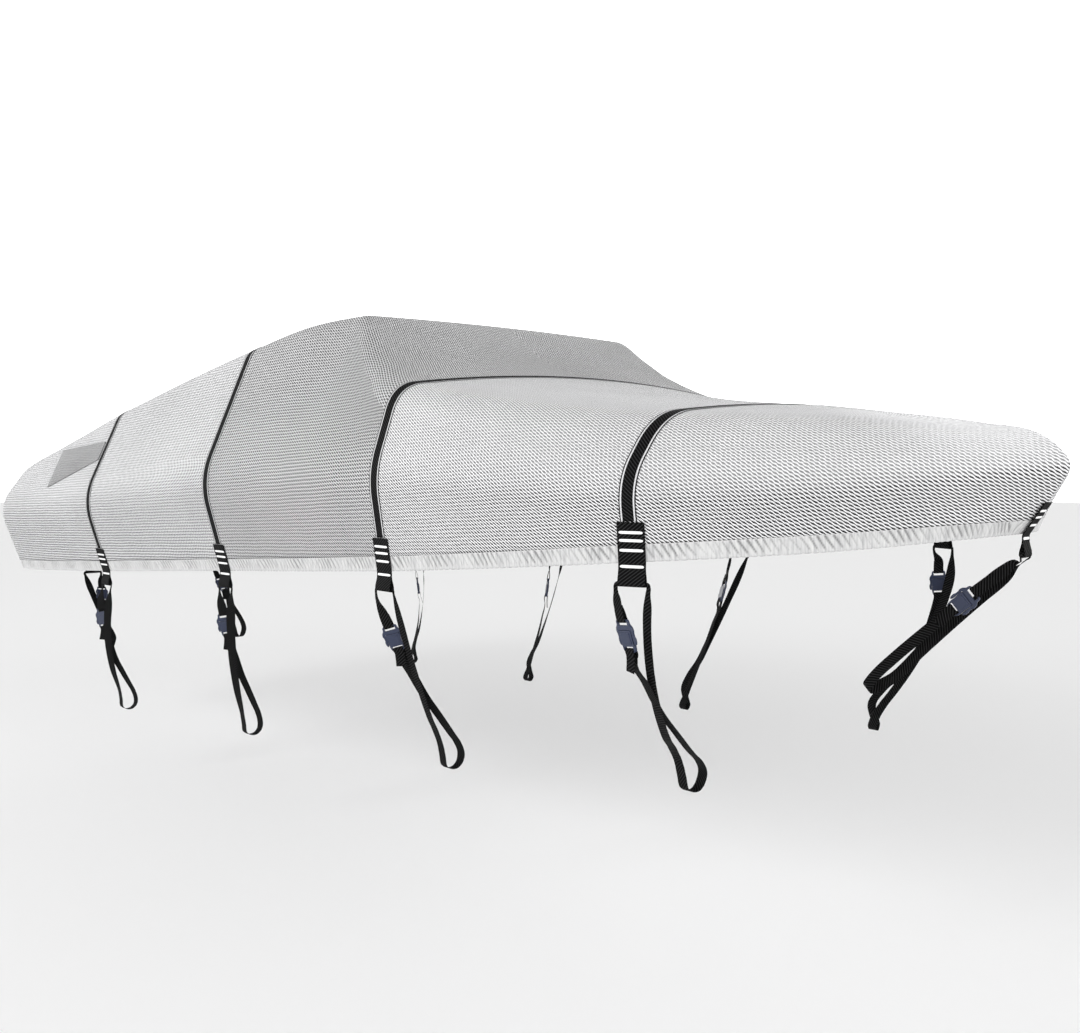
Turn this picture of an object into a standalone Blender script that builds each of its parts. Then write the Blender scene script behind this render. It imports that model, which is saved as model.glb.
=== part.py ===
"""Fitted outdoor cover, as it stands stretched tight: three cloth panels, four sewn
cross straps, two puffed patches and eleven tie-downs, each with a folded webbing tab,
a strap and a two-piece side-release buckle.

Metres. +X points to the bow end, +Y to port, +Z up. The origin is the point on the
cloth's underside, in the middle of the highest ridge, that holds the cover up.
Tables give heights above the ground that the cover hangs over.
"""

import math

import bmesh
import bpy
import numpy as np

# ---------------------------------------------------------------- driving sizes

CLOTH = 0.002                 # thickness of the coated cloth
RIDGE_HEIGHT = 2.262          # top of the ridge above the ground
ORIGIN_HEIGHT = RIDGE_HEIGHT - CLOTH
SEAM_GAP = 0.0008             # between two panels, under a cross strap
LAY_GAP = 0.0006              # between cloth and the webbing laid on it
WEBBING = 0.0012              # thickness of the sewn webbing

STERN_X = -3.53               # flat stern end
STERN_CORNER = 0.28           # plan radius of the two stern corners
BOW_START_X = 0.30            # where the plan begins to narrow to the bow
BOW_X = 2.530                 # bow tip
BOW_HALF_WIDTH = 1.156
BOW_FULLNESS = 4.45           # exponents of the plan's curve to the bow: along,
BOW_POINT = 1.12              # and across, where 1 is a sharp tip
FAN_AFT_X = -2.60             # aft and forward of these, the sections fan out
FAN_FORE_X = 1.70
SPINE_AFT_X = -2.95           # ends of the centre line that they fan from
SPINE_FORE_X = 2.20

# Sections from stern to bow. The rim is the widest line, "in" is measured inwards
# from it, and a "round" is how far from its corner a rounding reaches.
SECTION_COLUMNS = ("x", "rim_y", "rim_z", "hem_in", "hem_z", "shoulder_in",
                   "shoulder_z", "top_z", "shoulder_round", "rim_round")
SECTIONS = (
    (-3.530, 1.055, 1.370, 0.155, 0.993, 0.210, 1.602, 1.642, 0.110, 0.120),
    (-3.100, 1.080, 1.385, 0.110, 1.007, 0.170, 1.675, 1.720, 0.090, 0.120),
    (-2.600, 1.115, 1.412, 0.100, 1.035, 0.190, 1.765, 1.803, 0.070, 0.120),
    (-1.925, 1.141, 1.457, 0.113, 1.079, 0.211, 1.912, 1.948, 0.060, 0.120),
    (-0.690, 1.159, 1.570, 0.113, 1.168, 0.259, 2.158, 2.190, 0.060, 0.120),
    (-0.250, 1.160, 1.590, 0.092, 1.199, 0.300, 2.235, 2.250, 0.060, 0.110),
    (+0.000, 1.160, 1.600, 0.083, 1.217, 0.340, 2.250, 2.262, 0.055, 0.110),
    (+0.120, 1.160, 1.603, 0.078, 1.226, 0.290, 2.158, 2.188, 0.065, 0.100),
    (+0.250, 1.159, 1.606, 0.070, 1.236, 0.225, 2.058, 2.100, 0.075, 0.095),
    (+0.529, 1.156, 1.610, 0.056, 1.256, 0.114, 1.932, 2.003, 0.100, 0.090),
    (+1.100, 1.145, 1.606, 0.045, 1.306, 0.130, 1.850, 1.905, 0.110, 0.085),
    (+1.629, 1.052, 1.602, 0.036, 1.354, 0.160, 1.804, 1.856, 0.120, 0.090),
    (+2.100, 0.765, 1.612, 0.050, 1.392, 0.165, 1.785, 1.822, 0.120, 0.080),
    (+2.400, 0.335, 1.635, 0.105, 1.420, 0.120, 1.752, 1.787, 0.090, 0.060),
    (+2.530, 0.000, 1.650, 0.146, 1.427, 0.090, 1.746, 1.780, 0.070, 0.050),
)
# Steps along half a section: hem flap, rim rounding, side, shoulder rounding, top.
FLAP_STEPS, RIM_STEPS, SIDE_STEPS, SHOULDER_STEPS, TOP_STEPS = 2, 3, 2, 3, 4
SIDE_STATIONS = (-3.07, -2.85, -2.60, -2.30, -1.50, -1.10, -0.40, -0.20, -0.07, 0.00,
                 0.07, 0.15, 0.25, 0.38, 0.80, 1.10, 1.35, 1.85, 2.05)
BOW_STATION_HALF_WIDTHS = (0.63, 0.47, 0.32, 0.17)

CROSS_STRAP_WIDTH = 0.054
CROSS_STRAP_X = (-1.925, -0.690, 0.529, 1.629)

TAB_WIDTH = 0.088
BOW_TAB_WIDTH = 0.056
TAB_ABOVE_HEM = 0.124
TAB_BELOW_HEM = 0.062
TAB_LOOP_RADIUS = 0.009       # inside the loop at the bottom of a tab
TAB_PARTS_AT = 0.046          # height above the loop's centre where the layers part
POCKET_GAP = 0.0006           # between the two layers of a folded tab

TIE_WIDTH = 0.038
TIE_THICKNESS = 0.0014
TIE_IN_POCKET = 0.030         # the strap is bunched where it threads the tab
TIE_AT_CORNER = 0.014
CORNER_RADIUS = 0.009
FOOT_INNER_WIDTH = 0.060      # of the open loop at a strap's foot
FOOT_INNER_HEIGHT = 0.080
FOOT_ROUND = 0.012
FOOT_SLANT = 0.028            # the two legs cross above the foot
BOW_FOOT_SLANT = 0.018        # there they lie one above the other
STITCHED_END = 0.045
TAIL = 0.060

# Each strap's foot, from its tab's fold: forwards, towards the centre line and down;
# how far the fore and aft legs bow outwards, how far down the aft leg the buckle
# starts, and how many degrees each leg's face turns forwards from straight outwards.
TIE_COLUMNS = ("forwards", "inwards", "down", "fore_bulge", "aft_bulge", "buckle_down",
               "fore_turn", "aft_turn")
SIDE_TIES = (
    (+0.050, 0.050, 0.658, 0.040, 0.060, 0.125, 40, 40),
    (-0.065, 0.130, 0.700, 0.025, 0.035, 0.128, 40, 40),
    (-0.055, 0.332, 0.735, 0.015, 0.045, 0.160, 0, 40),
    (-0.085, 0.381, 0.728, 0.115, 0.140, 0.122, -28, -28),
)
STERN_TIE_Y = 0.55
STERN_TIE = (0.220, 0.000, 0.493, 0.020, 0.030, 0.110, 0, 0)
BOW_TIE = (-0.530, 0.000, 0.503, -0.010, -0.010, 0.180, 0, 0)

BUCKLE_BODY_WIDTH = 0.056
PLUG_THICKNESS = 0.008
SOCKET_THICKNESS = 0.012
BAR_THICKNESS = 0.005         # the bars that the webbing passes round
SLOT_LENGTH = 0.014
SLOT_WIDTH = 0.042
PLUG_LENGTH = 0.034
SOCKET_LENGTH = 0.070
PRONG_WIDTH = 0.009
PRONG_LENGTH = 0.048
PART_GAP = 0.0006

PATCH_CORNERS = (             # x and height of the patch's corners, from top aft
    (-2.600, 1.705), (-1.956, 1.748), (-1.956, 1.655), (-2.560, 1.500))
PATCH_GAP = 0.0025
PATCH_PUFF = 0.022
PATCH_STEPS = (8, 6)

LIGHT_CLOTH = (0.62, 0.62, 0.63)
DARK_CLOTH = (0.34, 0.34, 0.35)
BLACK_WEBBING = (0.012, 0.012, 0.013)
BUCKLE_BLUE = (0.050, 0.075, 0.130)


# ---------------------------------------------------------------- finishes

def finish(name, colour, roughness):
    """A plain Principled material."""
    made = bpy.data.materials.new(name)
    made.use_nodes = True
    shader = made.node_tree.nodes["Principled BSDF"]
    shader.inputs["Base Color"].default_value = (*colour, 1.0)
    shader.inputs["Roughness"].default_value = roughness
    shader.inputs["Metallic"].default_value = 0.0
    return made


# ---------------------------------------------------------------- mesh makers

def add_object(name, points, faces, material, smooth=True):
    """One closed mesh object at the origin."""
    mesh = bpy.data.meshes.new(name)
    mesh.from_pydata([tuple(p) for p in points], [], faces)
    mesh.materials.append(material)
    if smooth:
        mesh.shade_smooth()
        mesh.set_sharp_from_angle(angle=math.radians(40))
    made = bpy.data.objects.new(name, mesh)
    bpy.context.scene.collection.objects.link(made)
    return made


def thick_sheet(name, inner, outer, material):
    """Closed sheet between two grids of points, both rows x columns x 3. Seen from
    the outer side, columns run to the left of the rows' direction."""
    rows, columns = inner.shape[:2]
    points = np.concatenate([inner.reshape(-1, 3), outer.reshape(-1, 3)])
    number = np.arange(2 * rows * columns).reshape(2, rows, columns)
    faces = []
    for i in range(rows - 1):
        for j in range(columns - 1):
            low = [number[0, i, j], number[0, i, j + 1],
                   number[0, i + 1, j + 1], number[0, i + 1, j]]
            high = [number[1, i, j], number[1, i + 1, j],
                    number[1, i + 1, j + 1], number[1, i, j + 1]]
            faces += [low, high]
    for i in range(rows - 1):
        for j, turn in ((0, 1), (columns - 1, -1)):
            edge = [number[0, i, j], number[0, i + 1, j],
                    number[1, i + 1, j], number[1, i, j]]
            faces.append(edge[::turn])
    for j in range(columns - 1):
        for i, turn in ((0, -1), (rows - 1, 1)):
            edge = [number[0, i, j], number[0, i, j + 1],
                    number[1, i, j + 1], number[1, i, j]]
            faces.append(edge[::turn])
    return add_object(name, points, [[int(k) for k in f] for f in faces], material)


def grid_normals(grid):
    """Unit normals of a grid of points: across its columns, then along its rows."""
    along = np.gradient(grid, axis=0)
    across = np.gradient(grid, axis=1)
    normal = np.cross(along, across)
    return normal / np.linalg.norm(normal, axis=2, keepdims=True)


def unit(vector):
    return np.asarray(vector) / np.linalg.norm(vector)


# ---------------------------------------------------------------- the cover's form

def steady_curve(knots, values, at):
    """Smooth curve through the knots that never overshoots them: cubic Hermite
    pieces, each knot's slope the harmonic mean of the chords beside it."""
    span = np.diff(knots)
    chord = np.diff(values) / span
    slope = np.zeros(len(knots))
    slope[0] = chord[0]
    slope[-1] = chord[-1]
    for k in range(1, len(knots) - 1):
        if chord[k - 1] * chord[k] > 0:
            slope[k] = 2 / (1 / chord[k - 1] + 1 / chord[k])
    k = int(np.clip(np.searchsorted(knots, at, side="right") - 1, 0, len(span) - 1))
    t = (at - knots[k]) / span[k]
    return (values[k] * (1 + 2 * t) * (1 - t) ** 2
            + slope[k] * span[k] * t * (1 - t) ** 2
            + values[k + 1] * t ** 2 * (3 - 2 * t)
            + slope[k + 1] * span[k] * t ** 2 * (t - 1))


def section_at(x):
    """The section table's columns, read at x, by name."""
    rows = np.array(SECTIONS)
    return {name: steady_curve(rows[:, 0], rows[:, k], x)
            for k, name in enumerate(SECTION_COLUMNS)}


def bow_x_at(half_width):
    """The curve that closes the plan at the bow, read from its half width."""
    t = (1 - (half_width / BOW_HALF_WIDTH) ** BOW_POINT) ** (1 / BOW_FULLNESS)
    return BOW_START_X + (BOW_X - BOW_START_X) * t


def half_width_at(x):
    """Half width of the rim between the stern corner and the bow tip."""
    if x <= BOW_START_X:
        return section_at(x)["rim_y"]
    t = (x - BOW_START_X) / (BOW_X - BOW_START_X)
    return BOW_HALF_WIDTH * (1 - t ** BOW_FULLNESS) ** (1 / BOW_POINT)


def spread_spine(rim_points, start_x, end_x):
    """Stations (x, half width, spine x) for rim points whose sections fan out: the
    spine's x goes from start to end in step with the way round the rim."""
    points = np.array(rim_points)
    steps = np.linalg.norm(np.diff(points, axis=0), axis=1)
    run = np.concatenate([[0], np.cumsum(steps)])
    spine = start_x + (end_x - start_x) * run / run[-1]
    return [(x, y, s) for (x, y), s in zip(rim_points, spine)]


def stern_stations():
    """Middle of the stern, its two tab edges, the corner, and the aft side."""
    side_x = STERN_X + STERN_CORNER
    side_y = half_width_at(side_x)
    half_tab = TAB_WIDTH / 2
    flat_ys = (0.0, 0.25, STERN_TIE_Y - half_tab, STERN_TIE_Y + half_tab)
    rim = [(STERN_X, y) for y in flat_ys]
    for turn in (0, 22.5, 45, 67.5):
        a = math.radians(turn)
        rim.append((side_x - STERN_CORNER * math.cos(a),
                    side_y - STERN_CORNER + STERN_CORNER * math.sin(a)))
    rim += [(x, half_width_at(x)) for x in SIDE_STATIONS if x <= FAN_AFT_X]
    return spread_spine(rim, SPINE_AFT_X, FAN_AFT_X)


def side_stations():
    """Sections square to the centre line, with three at each cross strap."""
    xs = [x for x in SIDE_STATIONS if FAN_AFT_X < x <= FAN_FORE_X]
    for x in CROSS_STRAP_X:
        xs += [x - TAB_WIDTH / 2, x, x + TAB_WIDTH / 2]
    return [(x, half_width_at(x), x) for x in sorted(xs)]


def bow_stations():
    """Round the bow to its tip, with a station at the bow tab's edge."""
    rim = [(FAN_FORE_X, half_width_at(FAN_FORE_X))]
    rim += [(x, half_width_at(x)) for x in SIDE_STATIONS if x > FAN_FORE_X]
    rim += [(bow_x_at(y), y) for y in (*BOW_STATION_HALF_WIDTHS, TAB_WIDTH / 2)]
    rim.append((BOW_X, 0.0))
    return spread_spine(rim, FAN_FORE_X, SPINE_FORE_X)


def rounded(before, corner, after, reach, steps):
    """Quadratic curve that cuts a corner, starting and ending reach away from it."""
    start = corner + reach * unit(before - corner)
    end = corner + reach * unit(after - corner)
    t = np.linspace(0, 1, steps + 1)[:, None]
    return start * (1 - t) ** 2 + corner * 2 * t * (1 - t) + end * t ** 2


def straight(start, end, steps):
    """Points from start up to, but not including, end."""
    t = np.linspace(0, 1, steps + 1)[:-1, None]
    return start + (end - start) * t


def half_section(station):
    """Outer face of the port half at a station, from the hem to the centre line."""
    x, rim_y, spine_x = station
    row = section_at(x)
    reach = math.hypot(x - spine_x, rim_y)
    heading = np.array([x - spine_x, rim_y]) / reach
    hem = np.array([reach - row["hem_in"], row["hem_z"]])
    rim = np.array([reach, row["rim_z"]])
    shoulder = np.array([reach - row["shoulder_in"], row["shoulder_z"]])
    crown_rise = row["top_z"] - row["shoulder_z"]
    top_start = np.array([shoulder[0] - row["shoulder_round"], 0.0])
    top_start[1] = row["top_z"] - crown_rise * (top_start[0] / shoulder[0]) ** 2
    rim_curve = rounded(hem, rim, shoulder, row["rim_round"], RIM_STEPS)
    shoulder_curve = rounded(rim, shoulder, top_start, row["shoulder_round"],
                             SHOULDER_STEPS)
    outs = np.linspace(shoulder_curve[-1, 0], 0, TOP_STEPS + 1)[1:]
    top_zs = row["top_z"] - crown_rise * (outs / shoulder[0]) ** 2
    flat = np.concatenate([
        straight(hem, rim_curve[0], FLAP_STEPS),
        rim_curve,
        straight(rim_curve[-1], shoulder_curve[0], SIDE_STEPS)[1:],
        shoulder_curve,
        np.column_stack([outs, top_zs]),
    ])
    return np.column_stack([
        spine_x + flat[:, 0] * heading[0],
        flat[:, 0] * heading[1],
        flat[:, 1] - ORIGIN_HEIGHT,
    ])


def mirrored(points):
    return points * np.array([1.0, -1.0, 1.0])


def whole_section(station):
    """Outer face from the starboard hem over the top to the port hem."""
    port = half_section(station)
    return np.concatenate([mirrored(port), port[-2::-1]])


# ---------------------------------------------------------------- cloth panels

def cover_panel(name, stations, material):
    """One panel: its outer face is a strip of whole sections, and the cloth's
    thickness goes inwards from it."""
    outer = np.array([whole_section(s) for s in stations])
    rows, columns = outer.shape[:2]
    mesh = bpy.data.meshes.new(name)
    number = np.arange(rows * columns).reshape(rows, columns)
    faces = [[int(number[i, j]), int(number[i + 1, j]),
              int(number[i + 1, j + 1]), int(number[i, j + 1])]
             for i in range(rows - 1) for j in range(columns - 1)]
    mesh.from_pydata([tuple(p) for p in outer.reshape(-1, 3)], [], faces)
    shape = bmesh.new()
    shape.from_mesh(mesh)
    bmesh.ops.remove_doubles(shape, verts=shape.verts, dist=0.00001)
    shape.to_mesh(mesh)
    shape.free()
    mesh.materials.append(material)
    mesh.shade_smooth()
    made = bpy.data.objects.new(name, mesh)
    bpy.context.scene.collection.objects.link(made)
    wall = made.modifiers.new("Cloth", "SOLIDIFY")
    wall.thickness = CLOTH
    wall.offset = -1.0
    wall.use_even_offset = True
    return made


def cover_panels(light, dark):
    """Aft, middle and fore panels, which meet under the second and third straps."""
    aft_seam, fore_seam = CROSS_STRAP_X[1], CROSS_STRAP_X[2]
    half_gap = SEAM_GAP / 2
    stations = stern_stations() + side_stations() + bow_stations()

    def seam(x):
        return (x, half_width_at(x), x)

    def between(low, high):
        return [s for s in stations if low + half_gap < s[2] < high - half_gap]

    cover_panel("cover_aft", [*between(-9.0, aft_seam), seam(aft_seam - half_gap)], light)
    cover_panel("cover_mid", [seam(aft_seam + half_gap), *between(aft_seam, fore_seam),
                              seam(fore_seam - half_gap)], dark)
    cover_panel("cover_fore", [seam(fore_seam + half_gap), *between(fore_seam, 9.0)], light)


# ---------------------------------------------------------------- cross straps

def cross_strap(number, x, material):
    """Webbing laid on the cover from tab top to tab top, square to the centre line."""
    site = side_site(number, 1)
    half_tab = TAB_WIDTH / 2
    stations = [(s, half_width_at(s), s) for s in (x - half_tab, x, x + half_tab)]
    tab_edges = [half_section(s) for s in stations]
    share = CROSS_STRAP_WIDTH / TAB_WIDTH
    sections = []
    for edge in (tab_edges[0], tab_edges[1], tab_edges[2]):
        port = tab_edges[1] + (edge - tab_edges[1]) * share
        flap = unit(port[1] - port[0])
        rise = TAB_ABOVE_HEM + LAY_GAP - np.dot(port[0] - site.hem, site.up)
        start = port[0] + flap * rise / np.dot(flap, site.up)
        port = np.concatenate([[start], port[FLAP_STEPS:]])
        sections.append(np.concatenate([mirrored(port), port[-2::-1]]))
    on_cloth = np.array(sections)
    normal = grid_normals(on_cloth)
    inner = on_cloth + normal * LAY_GAP
    outer = on_cloth + normal * (LAY_GAP + WEBBING)
    thick_sheet(f"cross_strap_{number}", inner, outer, material)


# ---------------------------------------------------------------- patches

def patch(name, side, material):
    """Four-cornered dark patch low on the aft shoulder, sewn at its edges and puffed
    up most near its upper aft corner. side is 1 to port, -1 to starboard."""
    corners = np.array(PATCH_CORNERS)
    steps_along, steps_down = PATCH_STEPS
    s = np.linspace(0, 1, steps_along + 1)[:, None, None]
    t = np.linspace(0, 1, steps_down + 1)[None, :, None]
    plan = ((1 - s) * (1 - t) * corners[0] + s * (1 - t) * corners[1]
            + s * t * corners[2] + (1 - s) * t * corners[3])
    face = np.zeros((steps_along + 1, steps_down + 1, 3))
    for i in range(steps_along + 1):
        for j in range(steps_down + 1):
            x, height = plan[i, j]
            section = half_section((x, half_width_at(x), x))
            z = height - ORIGIN_HEIGHT
            face[i, j] = (x, np.interp(z, section[:, 2], section[:, 1]), z)
    normal = grid_normals(face)
    rise = np.sin(np.pi * s ** 0.7) * np.sin(np.pi * t ** 0.7)
    inner = face + normal * (PATCH_GAP + PATCH_PUFF * rise)
    outer = inner + normal * CLOTH
    if side < 0:
        inner, outer = mirrored(inner)[::-1], mirrored(outer)[::-1]
    thick_sheet(name, inner, outer, material)


# ---------------------------------------------------------------- tie-down sites

class Site:
    """Where one tie-down hangs: its tab's hem point, and the directions along the
    hem, up the tab, out of its face and straight outwards. The tab follows the cloth
    down to the hem, where lap is, and hangs plumb below it. The strap's width lies
    along fore_lay and lay in its two legs, and its buckle faces show."""

    def __init__(self, name, before, middle, after, side, tie):
        low, high = np.array([half_section(s)[:2] for s in (before, middle, after)]
                             ).transpose(1, 0, 2)
        if side < 0:
            low, high = mirrored(low), mirrored(high)
        self.name = name
        self.hem = low[1]
        self.tie = dict(zip(TIE_COLUMNS, tie))
        self.tab_width = TAB_WIDTH
        self.foot_slant = FOOT_SLANT
        way = low[2] - low[0] + high[2] - high[0]
        face = unit(np.cross(way, high[1] - low[1]))
        self.face = face * np.sign(np.dot(face, self.hem))
        along = unit(np.cross(self.face, (0.0, 0.0, 1.0)))
        self.along = along * np.sign(np.dot(along, way))
        up = np.cross(self.face, self.along)
        self.up = up * np.sign(up[2])
        self.out = unit(self.face * np.array([1.0, 1.0, 0.0]))
        clear = max(np.dot(p - self.hem, self.face) for p in (*low, *high))
        fold_out = clear + 2 * LAY_GAP + WEBBING + POCKET_GAP / 2
        self.lap = self.hem + self.face * fold_out
        self.lap_face, self.lap_up = self.face, self.up
        self.face, self.up = self.out, np.array([0, 0, 1.0])
        self.fold = self.lap - self.up * TAB_BELOW_HEM
        inwards = -np.sign(self.hem[1]) * self.tie["inwards"]
        self.foot = self.fold + (self.tie["forwards"], inwards, -self.tie["down"])
        fore_turn, turn = math.radians(self.tie["fore_turn"]), math.radians(self.tie["aft_turn"])
        self.fore_lay = self.along * math.cos(fore_turn) - self.out * math.sin(fore_turn)
        self.lay = self.along * math.cos(turn) - self.out * math.sin(turn)
        self.show = self.out * math.cos(turn) + self.along * math.sin(turn)
        self.foot_axes = (np.round(self.along), np.round(self.out), np.array([0, 0, 1.0]))
        self.on_edge = False

    def hang_on_edge(self, tab_width, foot_slant):
        """The strap lies on edge, a leg on each side of what it is tied to and its
        broad face to the side."""
        self.on_edge = True
        self.tab_width, self.foot_slant = tab_width, foot_slant
        middle = self.fold + (self.tie["forwards"], 0, -self.tie["down"])
        down = unit(middle - self.fold)
        self.lay, self.show = unit(np.cross(self.along, down)), -self.along
        self.fore_lay = self.lay
        self.foot = middle + self.along * FOOT_INNER_WIDTH / 2
        self.foot_axes = (self.lay, self.along, -down)


def side_site(number, side):
    x = CROSS_STRAP_X[number - 1]
    half_tab = TAB_WIDTH / 2
    stations = [(s, half_width_at(s), s) for s in (x - half_tab, x, x + half_tab)]
    word = "near" if side < 0 else "far"
    return Site(f"{word}_{number}", *stations, side, SIDE_TIES[number - 1])


def stern_site(side):
    edges = (STERN_TIE_Y - TAB_WIDTH / 2, STERN_TIE_Y + TAB_WIDTH / 2)
    inner, outer = [s for s in stern_stations() if s[1] in edges]
    middle = tuple((a + b) / 2 for a, b in zip(inner, outer))
    word = "near" if side < 0 else "far"
    return Site(f"stern_{word}", inner, middle, outer, side, STERN_TIE)


def bow_site():
    tip = bow_stations()[-1]
    edge = bow_stations()[-2]
    other_edge = (edge[0], -edge[1], edge[2])
    site = Site("bow", other_edge, tip, edge, 1, BOW_TIE)
    site.hang_on_edge(BOW_TAB_WIDTH, BOW_FOOT_SLANT)
    return site


# ---------------------------------------------------------------- tabs

def arc(centre, first, second, radius, start, stop, steps):
    """Points on an arc in the plane of two unit vectors, angles in degrees."""
    points = []
    for turn in np.linspace(start, stop, steps + 1):
        a = math.radians(turn)
        points.append(centre + radius * (math.cos(a) * first + math.sin(a) * second))
    return points


def tab(site, material):
    """Webbing folded in two: its layers lie together on the cloth, and part below the
    hem round an open loop, which the strap threads."""
    half_gap = POCKET_GAP / 2
    bend_face = unit(site.face + site.lap_face)

    def layer(radius, gap, start, stop):
        curve = arc(site.fold, site.face, site.up, radius, start, stop, 7)
        ends = []
        for sign in (np.sign(90 - abs(start)), np.sign(90 - abs(stop))):
            ends.append([
                site.lap + site.lap_face * gap * sign + site.lap_up * TAB_ABOVE_HEM,
                site.lap + bend_face * gap * sign,
                site.fold + site.face * gap * sign + site.up * TAB_PARTS_AT])
        return [*ends[0], *curve, *ends[1][::-1]]

    outline = [*layer(TAB_LOOP_RADIUS + WEBBING, half_gap + WEBBING, 5, -185),
               *layer(TAB_LOOP_RADIUS, half_gap, -185, 5)]
    half_width = site.along * site.tab_width / 2
    count = len(outline)
    points = [p - half_width for p in outline] + [p + half_width for p in outline]
    faces = [[k, (k + 1) % count, count + (k + 1) % count, count + k]
             for k in range(count)]
    faces += [list(range(count))[::-1], list(range(count, 2 * count))]
    if np.dot(np.cross(site.along, site.face), site.up) > 0:
        faces = [f[::-1] for f in faces]
    add_object(f"tab_{site.name}", points, faces, material)


# ---------------------------------------------------------------- tie-down straps

def smooth_path(points, steps):
    """Curve through the points, in equal steps between each two of them: cubic
    Hermite pieces over chord length."""
    points = np.array(points)
    chord = np.linalg.norm(np.diff(points, axis=0), axis=1)
    place = np.concatenate([[0], np.cumsum(chord)])
    slope = np.gradient(points, place, axis=0)
    path = [points[0]]
    for k, span in enumerate(chord):
        for t in np.linspace(0, 1, steps + 1)[1:]:
            path.append(points[k] * (1 + 2 * t) * (1 - t) ** 2
                        + slope[k] * span * t * (1 - t) ** 2
                        + points[k + 1] * t ** 2 * (3 - 2 * t)
                        + slope[k + 1] * span * t ** 2 * (t - 1))
    return path


class Buckle:
    """Place of a buckle on the aft leg of its strap: plug up, socket down."""

    def __init__(self, top, foot, site):
        self.top = top
        self.down = unit(foot - top)
        self.across = unit(site.lay - np.dot(site.lay, self.down) * self.down)
        self.front = unit(np.cross(self.down, self.across))
        if np.dot(self.front, site.show) < 0:
            self.front = -self.front

    def at(self, down, front, across=0.0):
        return self.top + self.down * down + self.front * front + self.across * across


def bar_radius(plate):
    """Radius of a strap's middle where it passes round a bar of a plate."""
    return plate / 2 + 2 * LAY_GAP + TIE_THICKNESS / 2


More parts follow.
